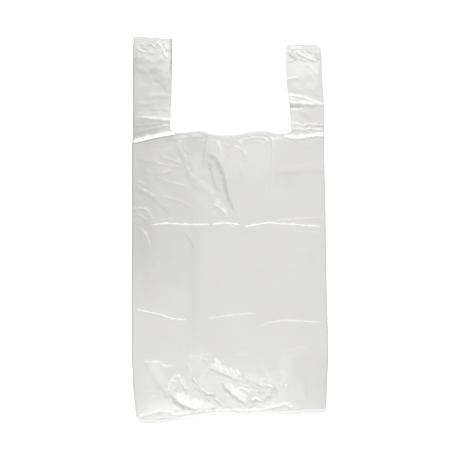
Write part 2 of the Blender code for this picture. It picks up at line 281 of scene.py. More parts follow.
LEFT_HANDLE_WRINKLES = (
    # The bright ridge at the handle's root, steep towards the body
    Wrinkle(2.3, 6.8, 2.0, (
        (-158.0, 135.6), (-141.5, 139.3), (-125.8, 143.2), (-110.1, 146.4), (-97.6, 148.5), (-84.0, 150.4),
    ), soft=0.0, fade=(0, 5), lean=0.5, whitening_and_painted_highlight=0.9, shade=0.1),
    Wrinkle(0.3, 4.0, 5.4, ((-152.0, 152.4), (-138.4, 154.6), (-124.0, 158.0), (-104.0, 162.8)),
            fade=(0, 10), shade=0.24),
    Wrinkle(0.3, 3.0, 3.4, ((-152.0, 164.0), (-136.0, 163.4), (-118.0, 166.0), (-100.0, 169.0)),
            fade=(0, 8), shade=0.12),
    Wrinkle(0.5, 3.0, 3.0, ((-112.1, 171.7), (-101.6, 170.0), (-92.0, 169.0)), fade=(6, 0), shade=0.25),
    Wrinkle(0.6, 2.5, 2.4, ((-108.6, 160.6), (-102.0, 163.6), (-92.0, 163.0)),
            fade=(6, 0), whitening_and_painted_highlight=0.3, shade=0.2),
    # The sharp crease across the handle
    Wrinkle(1.1, 3.6, 6.0, (
        (-150.0, 178.4), (-138.0, 176.8), (-125.8, 175.6), (-110.1, 174.0), (-92.0, 172.4),
    ), soft=0.0, fade=(26, 0), whitening_and_painted_highlight=0.6, shade=0.16),
    Wrinkle(0.2, 3.6, 4.0, ((-130.7, 190.4), (-110.1, 189.8), (-94.8, 188.0)), fade=(12, 2), shade=0.16),
    Wrinkle(0.2, 3.4, 3.0, ((-147.8, 184.4), (-132.0, 181.0), (-120.0, 182.0)), fade=(6, 8), whitening_and_painted_highlight=0.12),
    Wrinkle(0.2, 5.0, 6.0, ((-146.7, 199.4), (-132.0, 197.6), (-116.0, 200.4)), fade=(6, 12), shade=0.12),
    Wrinkle(0.2, 4.0, 6.0, ((-135.7, 206.4), (-122.7, 209.2), (-110.1, 210.6), (-92.0, 209.6)),
            fade=(12, 0), shade=0.12),
    # The long slanting fold that parts the pale upper part from the grey lower part
    Wrinkle(0.5, 22.0, 16.0, (
        (-150.0, 270.0), (-136.8, 267.4), (-125.8, 258.0), (-112.1, 248.2), (-102.7, 238.0),
        (-94.0, 226.0),
    ), soft=0.6, fade=(5, 6), shade=0.13),
    Wrinkle(0.25, 4.0, 5.0, ((-152.0, 271.0), (-139.0, 271.8), (-130.0, 269.0), (-120.0, 260.0)),
            fade=(0, 10), shade=0.16),
    Wrinkle(0.25, 5.0, 6.0, ((-118.0, 238.0), (-110.0, 234.0), (-102.0, 227.0), (-96.0, 217.0)),
            fade=(6, 6), shade=0.22),
    Wrinkle(0.2, 7.0, 7.0, ((-148.0, 255.0), (-134.0, 249.0), (-122.0, 243.0)), fade=(8, 8), shade=0.10),
    Wrinkle(0.2, 1.2, 5.0, ((-89.9, 303.0), (-90.1, 264.0), (-91.4, 238.0)), fade=(0, 20), shade=0.9),
    # The gathered strokes under the weld
    Wrinkle(0.8, 3.4, 2.8, ((-113.6, 296.0), (-106.5, 284.5), (-98.5, 268.0)),
            soft=0.0, fade=(2, 7), whitening_and_painted_highlight=0.8, shade=0.06),
    Wrinkle(0.6, 3.0, 2.8, ((-104.0, 296.0), (-97.2, 280.0)), soft=0.0, fade=(2, 5), whitening_and_painted_highlight=0.5, shade=0.3),
    Wrinkle(0.6, 2.6, 2.8, ((-124.6, 293.5), (-116.0, 284.4)), soft=0.0, fade=(3, 4), whitening_and_painted_highlight=0.5, shade=0.2),
    Wrinkle(0.3, 2.0, 3.4, ((-140.6, 292.0), (-131.0, 290.6), (-122.0, 292.0)), fade=(3, 3), shade=0.18),
    Wrinkle(0.3, 2.4, 4.4, ((-140.6, 286.6), (-131.8, 285.6), (-123.8, 287.1)), fade=(3, 3), shade=0.25),
    Wrinkle(0.3, 3.0, 2.6, ((-148.0, 285.0), (-132.0, 279.0), (-118.0, 278.0)), fade=(5, 5), whitening_and_painted_highlight=0.2),
)

RIGHT_HANDLE_WRINKLES = (
    # The ridge at the handle's root
    Wrinkle(1.7, 5.6, 3.4, (
        (84.0, 145.4), (91.0, 144.9), (104.3, 143.7), (119.2, 145.6), (138.1, 148.0), (154.0, 148.6),
    ), soft=0.0, fade=(5, 0), lean=0.4, whitening_and_painted_highlight=0.75, shade=0.08),
    Wrinkle(1.0, 2.4, 3.4, ((92.0, 158.6), (106.0, 158.0), (122.4, 155.7)),
            soft=0.0, fade=(0, 8), whitening_and_painted_highlight=0.5, shade=0.4),
    Wrinkle(0.9, 2.4, 2.6, ((112.0, 154.6), (122.0, 158.0), (134.0, 157.6), (152.0, 156.8)),
            fade=(6, 0), whitening_and_painted_highlight=0.5, shade=0.3),
    Wrinkle(1.0, 2.6, 2.6, ((92.0, 167.2), (104.7, 166.2), (115.5, 162.6)),
            soft=0.0, fade=(0, 5), whitening_and_painted_highlight=0.6, shade=0.2),
    Wrinkle(1.0, 2.4, 3.4, ((113.0, 162.6), (122.4, 165.4), (133.4, 165.4), (152.0, 163.8)),
            soft=0.0, fade=(5, 0), whitening_and_painted_highlight=0.4, shade=0.5),
    Wrinkle(0.3, 6.0, 12.0, ((108.0, 192.0), (118.2, 184.8), (130.8, 174.8)),
            soft=0.8, fade=(8, 8), shade=0.12),
    # The pleat that takes up the handle's length: two pale crests over a deep shadow
    Wrinkle(1.5, 3.4, 2.4, (
        (84.0, 210.6), (92.0, 210.2), (102.0, 209.8), (114.5, 207.4), (127.1, 202.6), (138.5, 198.8),
        (152.0, 194.8),
    ), soft=0.0, fade=(0, 0), lean=0.2, whitening_and_painted_highlight=0.8, shade=0.15),
    Wrinkle(1.2, 3.0, 2.4, ((86.0, 207.4), (96.0, 205.6), (108.0, 202.8)), soft=0.0, fade=(0, 8), whitening_and_painted_highlight=0.5),
    Wrinkle(1.7, 4.4, 8.4, (
        (86.0, 200.4), (100.4, 199.6), (109.8, 199.2), (122.4, 198.4), (134.9, 197.0), (152.0, 195.4),
    ), soft=0.1, fade=(0, 30), lean=0.2, whitening_and_painted_highlight=0.55, shade=0.45),
    Wrinkle(0.2, 2.0, 9.0, ((84.0, 197.8), (98.0, 197.6), (112.0, 197.4), (132.0, 196.6)),
            fade=(0, 40), shade=0.75),
    Wrinkle(0.5, 4.0, 4.0, ((86.0, 187.4), (100.0, 187.6), (118.0, 188.6)), fade=(0, 14), whitening_and_painted_highlight=0.2),
    # The pale upper part, with its soft cross folds
    Wrinkle(0.3, 14.0, 14.0, (
        (84.0, 239.0), (102.0, 237.4), (114.0, 239.4), (124.0, 242.9), (135.4, 247.9),
    ), soft=0.5, fade=(0, 12)),
    Wrinkle(0.6, 2.6, 3.0, ((84.0, 237.4), (96.0, 237.4), (108.0, 239.6)),
            soft=0.0, fade=(0, 8), whitening_and_painted_highlight=0.45),
    Wrinkle(0.3, 9.0, 10.0, ((90.0, 224.0), (112.0, 221.0), (142.0, 226.0)),
            soft=0.7, fade=(8, 8), shade=0.09),
    Wrinkle(0.4, 5.0, 5.0, ((126.0, 222.0), (136.0, 215.0), (146.0, 208.0)),
            soft=0.4, fade=(6, 2), shade=0.10),
    # The gathered strokes under the weld
    Wrinkle(1.3, 4.4, 3.4, ((103.5, 278.4), (112.0, 274.4), (120.4, 270.8), (129.4, 267.8), (137.8, 265.4)),
            soft=0.0, fade=(5, 4), whitening_and_painted_highlight=0.85, shade=0.25),
    Wrinkle(0.5, 2.0, 5.6, ((119.0, 283.6), (128.1, 280.4), (139.5, 276.4)),
            soft=0.2, fade=(4, 5), shade=0.62),
    Wrinkle(0.5, 2.0, 4.6, ((128.0, 274.4), (135.4, 271.4), (143.2, 269.6)),
            soft=0.2, fade=(4, 2), shade=0.58),
    Wrinkle(0.5, 2.0, 6.0, ((93.8, 279.0), (99.8, 273.6), (108.0, 268.0)),
            soft=0.2, fade=(2, 6), shade=0.45),
    Wrinkle(0.4, 2.0, 5.0, ((107.8, 271.4), (114.8, 268.6), (124.0, 265.0)),
            soft=0.2, fade=(4, 6), shade=0.26),
    Wrinkle(0.5, 2.4, 3.0, ((88.8, 266.0), (95.8, 265.6), (103.0, 269.0)), soft=0.0, fade=(2, 4), whitening_and_painted_highlight=0.3),
    Wrinkle(0.5, 7.0, 5.0, ((118.1, 262.1), (129.1, 252.2), (140.7, 241.4)),
            soft=0.5, fade=(6, 6), whitening_and_painted_highlight=0.15),
    Wrinkle(0.5, 5.0, 3.0, ((92.7, 284.9), (103.5, 285.9), (115.0, 284.0)),
            soft=0.1, fade=(4, 6), whitening_and_painted_highlight=0.4),
)

UPPER_BODY_WRINKLES = (
    # The pale ridge that runs down from the left handle, and the dark valley beside it
    Wrinkle(0.9, 9.0, 7.0, (
        (-85.0, 142.0), (-77.1, 125.8), (-69.3, 108.7), (-63.0, 89.7), (-50.4, 74.0), (-34.7, 59.4),
        (-20.2, 41.0), (-4.4, 20.9),
    ), soft=0.5, fade=(8, 8), whitening_and_painted_highlight=0.07),
    Wrinkle(0.3, 3.0, 5.0, ((-66.6, 124.4), (-60.3, 106.3), (-50.2, 86.6)), fade=(5, 6), shade=0.12),
    Wrinkle(0.2, 3.0, 5.0, ((-70.6, 90.0), (-60.3, 75.3), (-48.2, 62.6)), fade=(6, 6), shade=0.10),
    # The fold that drops from the mouth, and the dark valley it turns into
    Wrinkle(0.5, 3.0, 3.0, ((-33.0, 150.0), (-36.4, 125.8), (-40.8, 101.8)),
            soft=0.2, fade=(0, 8), whitening_and_painted_highlight=0.08),
    Wrinkle(0.2, 2.4, 6.8, ((-33.6, 152.0), (-36.0, 128.8), (-40.8, 104.8)),
            soft=0.2, fade=(2, 14), shade=0.26),
    Wrinkle(0.2, 2.4, 10.0, (
        (-36.1, 121.3), (-22.9, 116.6), (-14.6, 105.5), (-8.3, 91.1), (-3.6, 73.9), (1.1, 51.9),
        (5.8, 39.3), (12.3, 20.2),
    ), soft=0.3, fade=(8, 40), shade=0.46),
    Wrinkle(0.3, 2.4, 7.0, ((-30.8, 110.1), (-26.1, 90.5), (-22.2, 74.8), (-14.3, 59.1)),
            soft=0.2, fade=(6, 10), shade=0.3),
    Wrinkle(0.4, 2.4, 3.0, ((-27.6, 41.0), (-12.7, 33.1), (-2.5, 20.6)), soft=0.1, fade=(6, 4), whitening_and_painted_highlight=0.45),
    Wrinkle(0.3, 2.4, 4.4, ((-66.9, 110.9), (-59.9, 98.3), (-54.4, 85.8)),
            soft=0.2, fade=(5, 5), shade=0.26),
    Wrinkle(0.3, 3.0, 3.4, ((-114.1, 118.8), (-97.6, 111.7), (-77.1, 103.8)),
            soft=0.2, fade=(8, 8), whitening_and_painted_highlight=0.08, shade=0.12),
    Wrinkle(0.3, 3.0, 3.4, ((-121.1, 107.0), (-101.5, 101.5), (-79.5, 98.3)),
            soft=0.2, fade=(8, 8), whitening_and_painted_highlight=0.05, shade=0.14),
    Wrinkle(0.3, 3.0, 4.0, ((-122.7, 84.2), (-97.6, 76.4), (-67.7, 67.7)),
            soft=0.2, fade=(10, 10), whitening_and_painted_highlight=0.08, shade=0.08),
    Wrinkle(0.3, 3.0, 4.0, ((-105.4, 52.8), (-81.8, 46.5), (-55.1, 33.1)),
            soft=0.2, fade=(10, 10), whitening_and_painted_highlight=0.08, shade=0.08),
    Wrinkle(0.3, 4.0, 6.0, ((-76.4, 141.5), (-69.3, 127.4), (-57.5, 115.6)),
            soft=0.3, fade=(6, 10), shade=0.18),
    Wrinkle(0.3, 3.0, 3.0, ((-22.2, 140.0), (-17.4, 130.6), (-11.9, 120.3)),
            soft=0.1, fade=(3, 6), whitening_and_painted_highlight=0.25),
    Wrinkle(0.3, 3.0, 3.4, ((6.1, 131.3), (16.3, 126.6), (25.8, 114.1)),
            soft=0.1, fade=(5, 6), whitening_and_painted_highlight=0.2, shade=0.1),
    Wrinkle(0.3, 4.0, 4.0, ((14.8, 107.0), (17.1, 94.4), (24.2, 78.7)), soft=0.5, fade=(8, 8), shade=0.08),
    # The mouth's edge, which stands up where the handles pull at it
    Wrinkle(0.8, 4.0, 3.0, ((20.0, 141.6), (31.3, 143.6), (42.0, 144.6), (54.0, 143.0), (62.0, 134.0)),
            fade=(6, 10), whitening_and_painted_highlight=0.15, shade=0.1),
    Wrinkle(0.4, 2.0, 4.0, ((22.0, 147.6), (34.0, 149.4), (46.0, 149.6), (58.0, 149.0), (68.0, 146.0)),
            fade=(4, 6), shade=0.22),
    Wrinkle(0.7, 3.4, 3.0, ((62.0, 146.0), (66.4, 140.0), (66.8, 124.0)),
            soft=0.1, fade=(3, 8), whitening_and_painted_highlight=0.25, shade=0.1),
    Wrinkle(0.4, 4.0, 4.0, ((-92.0, 142.0), (-72.0, 144.0), (-52.0, 146.4), (-40.0, 144.0)),
            fade=(6, 6), shade=0.1),
    Wrinkle(0.5, 5.0, 4.0, ((64.0, 140.6), (76.0, 141.6), (92.0, 138.6)), fade=(8, 8), whitening_and_painted_highlight=0.15),
    Wrinkle(0.5, 5.0, 5.0, ((16.0, 143.0), (22.0, 122.0), (24.0, 104.0)), soft=0.8, fade=(6, 10)),
    Wrinkle(0.4, 3.4, 3.4, ((-18.0, 141.0), (-15.6, 126.0), (-14.0, 112.0)),
            soft=0.2, fade=(3, 8), whitening_and_painted_highlight=0.25),
    Wrinkle(0.4, 3.6, 3.6, ((1.0, 138.0), (-2.0, 124.0), (-1.0, 110.0)), soft=0.6, fade=(6, 10), shade=0.1),
    Wrinkle(0.4, 3.4, 3.4, ((12.0, 140.0), (20.0, 130.0), (26.0, 112.0)), soft=0.3, fade=(3, 8), whitening_and_painted_highlight=0.2),
    Wrinkle(0.45, 3.0, 3.0, ((66.4, 126.8), (66.8, 102.3), (64.5, 70.9), (63.7, 30.0)),
            soft=0.2, fade=(8, 30), whitening_and_painted_highlight=0.1, shade=0.1),
    Wrinkle(0.5, 10.0, 11.0, ((70.5, 88.0), (86.2, 92.7), (106.7, 95.1), (128.7, 96.8), (152.0, 94.3)),
            soft=0.5, fade=(14, 0), shade=0.10),
    # The crumpled left edge
    Wrinkle(0.5, 5.0, 6.0, ((-150.0, 66.1), (-132.1, 58.9), (-116.3, 48.3), (-104.3, 37.3), (-92.3, 24.7)),
            fade=(2, 12), shade=0.12),
    Wrinkle(0.5, 4.0, 4.0, ((-148.0, 76.1), (-134.1, 70.9), (-122.3, 62.3)), fade=(6, 8), shade=0.08),
    Wrinkle(0.5, 3.0, 4.0, ((-152.4, 33.1), (-138.4, 33.9), (-129.0, 30.0), (-120.6, 15.9)),
            soft=0.2, fade=(0, 5), whitening_and_painted_highlight=0.15, shade=0.14),
    Wrinkle(0.4, 3.0, 4.0, ((-152.0, 24.0), (-141.0, 23.0), (-132.0, 15.0)),
            fade=(4, 5), whitening_and_painted_highlight=0.1, shade=0.12),
    Wrinkle(0.5, 3.0, 3.4, ((-145.1, 3.9), (-135.3, -3.0), (-129.0, -15.6), (-123.3, -31.7)),
            soft=0.2, fade=(4, 6), whitening_and_painted_highlight=0.15),
    Wrinkle(0.3, 3.0, 5.0, ((-70.7, -1.0), (-63.4, -12.4), (-52.2, -30.1)), fade=(4, 6), shade=0.12),
    Wrinkle(0.3, 4.0, 4.0, ((-150.0, 112.0), (-124.0, 108.0), (-96.0, 112.0)), fade=(6, 10), shade=0.06),
    Wrinkle(0.3, 5.0, 5.0, ((-140.0, 94.0), (-112.0, 88.0), (-88.0, 92.0)), fade=(8, 10), shade=0.06),
    Wrinkle(0.3, 5.0, 5.0, ((-130.0, 126.0), (-104.0, 122.0), (-84.0, 128.0)), fade=(8, 10)),
)

PACK_CREASES = (
    # Where the bag was folded across in its pack: each crease shows as broken bright lines
    Wrinkle(0.6, 1.5, 1.4, (
        (-129.0, 6.6), (-110.1, 9.2), (-97.6, 10.1), (-77.1, 8.8), (-55.1, 8.2), (-29.0, 8.2),
    ), soft=0.0, fade=(12, 7), whitening_and_painted_highlight=0.9),
    Wrinkle(0.6, 1.5, 1.4, ((-29.6, 8.6), (-19.0, 9.6), (-8.0, 10.2), (4.6, 9.4), (17.6, 6.8)),
            soft=0.0, fade=(5, 6), whitening_and_painted_highlight=0.8),
    Wrinkle(0.7, 1.7, 1.4, (
        (21.4, 4.8), (40.7, 7.6), (59.5, 10.4), (81.5, 9.2), (106.7, 7.6), (125.5, 6.0), (145.2, 4.9),
    ), soft=0.0, fade=(8, 8), whitening_and_painted_highlight=1.0),
    Wrinkle(-0.4, 2.4, 2.4, ((-154.1, 18.4), (-125.8, 19.6), (-102.3, 19.0), (-78.8, 18.1)), fade=(0, 12)),
    Wrinkle(0.55, 2.4, 2.4, ((66.0, 13.7), (94.1, 15.9), (119.2, 17.8), (134.9, 18.7), (156.0, 19.0)),
            soft=0.1, fade=(16, 0)),
    Wrinkle(0.4, 3.0, 3.0, ((103.1, -2.6), (122.4, -6.1), (147.4, -8.7)), fade=(8, 4)),
    Wrinkle(0.7, 2.4, 2.0, ((0.0, 3.0), (5.0, 5.6), (10.0, 2.4)), fade=(3, 3)),
    Wrinkle(0.55, 1.5, 1.3, (
        (-152.0, -123.6), (-136.8, -127.1), (-113.3, -131.8), (-100.7, -135.9), (-88.1, -139.3),
        (-67.3, -141.1),
    ), soft=0.0, fade=(12, 10), whitening_and_painted_highlight=0.8),
    Wrinkle(0.35, 1.4, 1.3, (
        (-38.3, -138.3), (-22.2, -136.8), (-9.6, -134.9), (15.6, -132.1), (44.3, -129.6),
    ), soft=0.0, fade=(10, 12), whitening_and_painted_highlight=0.4),
    Wrinkle(0.45, 1.4, 1.3, (
        (46.5, -151.0), (56.4, -146.9), (65.8, -144.4), (84.7, -141.9), (109.8, -142.8), (128.7, -144.1),
        (148.9, -145.5),
    ), soft=0.0, fade=(10, 10), whitening_and_painted_highlight=0.55),
)

LOWER_BODY_WRINKLES = (
    # The gusset's inner fold, felt through the front panel
    Wrinkle(-0.55, 4.0, 4.0, ((-63.0, -9.3), (-60.6, -47.0), (-59.9, -94.1), (-60.4, -180.0)),
            soft=0.6, fade=(14, 24)),
    Wrinkle(0.45, 3.0, 3.0, ((-110.7, -48.1), (-124.3, -70.5), (-139.4, -94.5)), fade=(6, 6)),
    Wrinkle(0.6, 3.0, 3.0, ((85.8, -191.9), (100.4, -187.4), (113.0, -185.2), (129.1, -183.2)),
            fade=(6, 6)),
    Wrinkle(0.5, 3.0, 3.0, ((90.5, -197.6), (105.1, -195.6), (119.7, -192.7)), fade=(6, 6)),
    Wrinkle(0.5, 3.0, 3.0, ((5.7, -193.3), (30.1, -191.9)), fade=(6, 6)),
    Wrinkle(0.6, 3.4, 3.0, ((-71.3, -194.4), (-50.4, -195.6), (-26.4, -196.4)), fade=(6, 6)),
)

BOTTOM_WRINKLES = (
    Wrinkle(0.8, 2.6, 3.0, (
        (-138.5, -207.6), (-124.0, -207.2), (-110.8, -207.8), (-103.8, -212.9), (-88.0, -212.0),
    ), soft=0.0, fade=(6, 6), whitening_and_painted_highlight=0.45),
    # The long fold that sweeps down to the bottom weld, dark on its lower left side
    Wrinkle(1.5, 16.0, 12.0, (
        (-132.0, -206.0), (-124.8, -215.5), (-111.7, -233.9), (-98.6, -251.8), (-90.0, -262.0),
    ), soft=0.45, fade=(12, 8), whitening_and_painted_highlight=0.12, shade=0.05),
    # The leaf of lit film above its foot, and the peak over it
    Wrinkle(2.0, 18.0, 11.0, (
        (-98.8, -252.1), (-90.4, -258.7), (-79.9, -267.1), (-67.8, -274.8), (-55.6, -279.0),
        (-40.0, -280.0), (-15.5, -278.3),
    ), soft=0.0, fade=(34, 40), whitening_and_painted_highlight=1.0, shade=0.44),
    Wrinkle(0.7, 4.0, 7.0, ((-96.2, -253.4), (-92.4, -238.1), (-83.1, -227.3)),
            soft=0.1, fade=(4, 4), whitening_and_painted_highlight=0.6),
    Wrinkle(0.7, 6.0, 4.0, ((-84.0, -226.9), (-75.3, -238.1), (-69.4, -252.4)),
            soft=0.1, fade=(4, 5), whitening_and_painted_highlight=0.5),
    Wrinkle(0.7, 3.0, 3.0, ((-85.4, -228.0), (-80.5, -229.4), (-75.3, -233.5)),
            soft=0.0, fade=(2, 4), whitening_and_painted_highlight=1.0),
    Wrinkle(0.6, 3.0, 3.0, ((-94.5, -238.4), (-88.9, -236.7), (-80.5, -239.8)),
            soft=0.0, fade=(3, 4), whitening_and_painted_highlight=0.6),
    Wrinkle(0.6, 2.6, 2.6, ((-93.4, -254.8), (-87.5, -248.6), (-82.2, -244.4)),
            soft=0.0, fade=(3, 4), whitening_and_painted_highlight=0.5, shade=0.2),
    # The thin curved fold in the middle, and its tail
    Wrinkle(0.9, 2.6, 4.0, (
        (-59.3, -230.4), (-49.2, -243.0), (-42.3, -250.7), (-33.6, -256.2), (-21.4, -258.0),
    ), soft=0.0, fade=(4, 6), whitening_and_painted_highlight=0.6, shade=0.3),
    Wrinkle(0.6, 2.6, 2.6, ((-57.9, -239.8), (-50.9, -248.6), (-42.3, -255.5)),
            soft=0.0, fade=(4, 5), whitening_and_painted_highlight=0.2, shade=0.15),
    Wrinkle(0.9, 3.0, 3.4, ((-24.4, -262.9), (-16.2, -270.3), (-8.8, -277.4)),
            soft=0.0, fade=(4, 4), whitening_and_painted_highlight=0.8, shade=0.05),
    Wrinkle(0.7, 2.6, 2.6, ((-41.3, -258.6), (-33.4, -256.6), (-22.8, -255.8)),
            soft=0.0, fade=(4, 4), whitening_and_painted_highlight=0.35, shade=0.1),
    Wrinkle(0.6, 2.6, 2.6, ((-37.4, -262.1), (-29.5, -268.0), (-20.7, -275.4)),
            soft=0.0, fade=(4, 5), whitening_and_painted_highlight=0.3, shade=0.12),
    Wrinkle(0.7, 5.0, 5.0, ((-46.3, -231.1), (-41.3, -221.6), (-29.5, -213.4)),
            soft=0.2, fade=(5, 4), whitening_and_painted_highlight=0.15),
    # The crumpled white ridge across the middle, with its cross strokes
    Wrinkle(0.6, 3.0, 2.6, ((-47.9, -202.8), (-39.3, -202.4), (-33.4, -203.6)),
            soft=0.1, fade=(4, 3), whitening_and_painted_highlight=0.35),
    Wrinkle(1.1, 11.0, 8.0, (
        (-35.4, -214.2), (-23.6, -216.9), (-13.5, -221.2), (-0.9, -227.1), (12.4, -233.0), (23.3, -236.6),
    ), soft=0.2, fade=(12, 18), whitening_and_painted_highlight=0.6, shade=0.3),
    Wrinkle(0.6, 3.0, 3.0, ((-24.4, -200.0), (-22.4, -207.1), (-24.4, -216.1)),
            soft=0.0, fade=(4, 5), whitening_and_painted_highlight=1.0),
    Wrinkle(0.6, 3.0, 3.0, ((-20.9, -203.2), (-16.2, -211.0), (-14.6, -220.1)),
            soft=0.0, fade=(4, 5), whitening_and_painted_highlight=1.0),
    Wrinkle(0.6, 3.0, 3.0, ((-11.5, -211.0), (-7.6, -216.1), (-2.9, -224.0)),
            soft=0.0, fade=(4, 5), whitening_and_painted_highlight=1.0),
    Wrinkle(0.6, 3.0, 3.0, ((-2.1, -215.3), (2.2, -220.1), (7.7, -228.3)), soft=0.0, fade=(4, 5), whitening_and_painted_highlight=1.0),
    Wrinkle(0.6, 3.0, 3.0, ((5.7, -218.1), (12.8, -223.2), (17.8, -231.1)),
            soft=0.0, fade=(4, 5), whitening_and_painted_highlight=1.0),
    Wrinkle(0.6, 3.0, 3.0, ((-31.5, -209.1), (-23.6, -212.6), (-15.0, -216.9)),
            soft=0.0, fade=(4, 5), whitening_and_painted_highlight=0.9),
    Wrinkle(0.8, 8.0, 6.0, ((19.4, -231.1), (31.2, -234.6), (42.8, -237.7), (54.6, -245.6)),
            soft=0.3, fade=(12, 12), whitening_and_painted_highlight=0.3, shade=0.1),
    Wrinkle(0.6, 3.0, 3.0, ((23.3, -225.2), (32.3, -227.9), (39.0, -227.1)),
            soft=0.0, fade=(4, 4), whitening_and_painted_highlight=0.35),
    Wrinkle(0.6, 3.0, 3.0, ((46.0, -231.1), (52.7, -233.8), (58.9, -235.0)),
            soft=0.0, fade=(4, 4), whitening_and_painted_highlight=0.6),
    Wrinkle(0.6, 3.0, 3.0, ((41.0, -238.5), (48.0, -242.8), (56.6, -244.4)),
            soft=0.0, fade=(4, 4), whitening_and_painted_highlight=0.5),
    Wrinkle(0.8, 3.4, 3.0, ((51.5, -240.9), (58.6, -243.6), (64.1, -245.6), (68.0, -250.7)),
            soft=0.0, fade=(4, 3), whitening_and_painted_highlight=0.9, shade=0.1),
    Wrinkle(0.5, 3.0, 3.0, ((30.4, -239.7), (37.1, -245.6), (46.8, -248.3)),
            soft=0.1, fade=(4, 4), shade=0.2),
    # The second lit patch, and the flecks on its right
    Wrinkle(1.3, 12.0, 7.0, (
        (-15.0, -234.6), (-4.1, -247.4), (6.1, -256.6), (15.8, -263.7), (22.5, -270.3), (24.9, -277.8),
    ), soft=0.0, fade=(22, 18), whitening_and_painted_highlight=0.9, shade=0.26),
    Wrinkle(0.7, 3.4, 3.0, ((8.9, -247.6), (21.3, -249.5), (31.9, -255.8)),
            soft=0.0, fade=(5, 4), whitening_and_painted_highlight=0.8, shade=0.15),
    Wrinkle(0.7, 3.0, 3.0, ((12.8, -241.3), (21.3, -243.6), (32.7, -244.8)),
            soft=0.0, fade=(4, 5), whitening_and_painted_highlight=0.6, shade=0.15),
    Wrinkle(0.7, 3.0, 3.0, ((10.8, -256.6), (21.3, -259.3), (29.2, -265.2)),
            soft=0.0, fade=(4, 4), whitening_and_painted_highlight=0.7, shade=0.15),
    Wrinkle(0.9, 3.6, 4.0, ((33.9, -267.2), (41.0, -264.0), (45.2, -266.8), (51.5, -269.5)),
            soft=0.0, fade=(4, 3), whitening_and_painted_highlight=1.0, shade=0.35),
    Wrinkle(0.7, 3.4, 3.4, ((50.3, -265.6), (57.0, -260.5), (66.4, -258.6)),
            soft=0.0, fade=(4, 5), whitening_and_painted_highlight=0.5),
    Wrinkle(0.5, 3.0, 3.0, ((46.8, -255.8), (54.6, -252.7), (64.4, -253.4)),
            soft=0.1, fade=(4, 4), whitening_and_painted_highlight=0.15, shade=0.15),
    Wrinkle(0.6, 3.0, 3.0, ((86.3, -238.5), (87.1, -243.6), (86.3, -248.7)),
            soft=0.0, fade=(3, 3), whitening_and_painted_highlight=0.8),
    Wrinkle(0.5, 4.0, 4.0, ((46.8, -199.2), (52.7, -213.0), (62.5, -228.7)),
            soft=0.4, fade=(8, 8), whitening_and_painted_highlight=0.12),
    Wrinkle(0.5, 5.0, 5.0, ((83.7, -213.3), (86.1, -229.7), (88.4, -255.2)), fade=(6, 6), whitening_and_painted_highlight=0.12),
    Wrinkle(0.4, 6.0, 6.0, ((83.7, -199.3), (85.1, -211.7), (86.4, -221.2)), fade=(4, 5), whitening_and_painted_highlight=0.1),
    Wrinkle(0.4, 7.0, 8.0, ((117.6, -227.1), (115.6, -245.1), (118.6, -265.1)),
            soft=0.8, fade=(8, 6), shade=0.04),
    Wrinkle(0.6, 3.0, 3.0, ((-69.8, -261.1), (-59.8, -251.1), (-55.8, -239.1)),
            soft=0.1, fade=(5, 6), whitening_and_painted_highlight=0.25),
    Wrinkle(0.6, 3.0, 3.0, ((-127.6, -261.1), (-111.6, -255.1), (-103.6, -261.1)),
            soft=0.5, fade=(8, 8), whitening_and_painted_highlight=0.1),
    Wrinkle(0.6, 3.0, 3.0, ((-75.7, -204.1), (-65.8, -211.1), (-61.8, -223.1)),
            soft=0.4, fade=(6, 6), whitening_and_painted_highlight=0.2),
    # The puckers along the weld
    Wrinkle(0.5, 3.4, 2.6, (
        (-131.4, -300.1), (-110.5, -296.9), (-84.3, -294.8), (-56.4, -293.1), (-31.9, -292.4),
    ), soft=0.0, fade=(8, 14), whitening_and_painted_highlight=0.6, shade=0.2),
    Wrinkle(0.5, 3.0, 4.0, ((-146.8, -293.1), (-141.5, -297.6), (-134.6, -302.9)),
            soft=0.0, fade=(0, 3), whitening_and_painted_highlight=0.5, shade=0.7),
    Wrinkle(0.6, 4.4, 3.0, ((-93.0, -283.7), (-86.7, -280.9), (-77.3, -284.0)),
            soft=0.0, fade=(4, 5), whitening_and_painted_highlight=1.0),
    Wrinkle(0.5, 3.0, 3.0, ((-72.1, -287.2), (-59.9, -285.4), (-45.9, -287.2)),
            soft=0.0, fade=(5, 5), whitening_and_painted_highlight=0.5),
    Wrinkle(1.0, 5.4, 3.0, (
        (-143.5, -295.2), (-133.5, -291.2), (-116.1, -286.1), (-104.6, -285.3), (-84.0, -287.5),
    ), soft=0.0, fade=(4, 8), whitening_and_painted_highlight=1.0, shade=0.05),
    Wrinkle(0.8, 6.4, 3.0, ((-96.0, -291.5), (-70.0, -289.0), (-50.0, -287.8), (-22.2, -286.9)),
            soft=0.0, fade=(12, 8), whitening_and_painted_highlight=1.0),
    Wrinkle(0.8, 6.4, 3.0, ((-30.0, -286.4), (3.0, -285.2), (34.4, -284.4), (60.5, -283.3)),
            soft=0.0, fade=(12, 12), whitening_and_painted_highlight=1.0),
    Wrinkle(0.9, 6.4, 4.4, ((44.6, -285.4), (60.0, -280.4), (70.5, -277.9), (88.8, -274.0), (98.4, -280.9)),
            soft=0.05, fade=(6, 4), whitening_and_painted_highlight=0.9),
    Wrinkle(0.6, 2.4, 2.6, ((96.4, -282.6), (110.0, -283.0), (125.5, -282.7), (152.0, -281.7)),
            soft=0.1, fade=(6, 0), whitening_and_painted_highlight=0.4),
    Wrinkle(0.8, 2.6, 2.6, ((-147.0, -298.2), (-132.1, -296.4), (-114.4, -295.8), (-96.0, -295.4)),
            soft=0.1, fade=(2, 8), whitening_and_painted_highlight=0.4, shade=0.2),
    Wrinkle(0.6, 2.6, 2.6, ((-144.0, -296.2), (-134.0, -300.0), (-120.0, -300.8)),
            soft=0.1, fade=(2, 6), whitening_and_painted_highlight=0.2, shade=0.3),
)

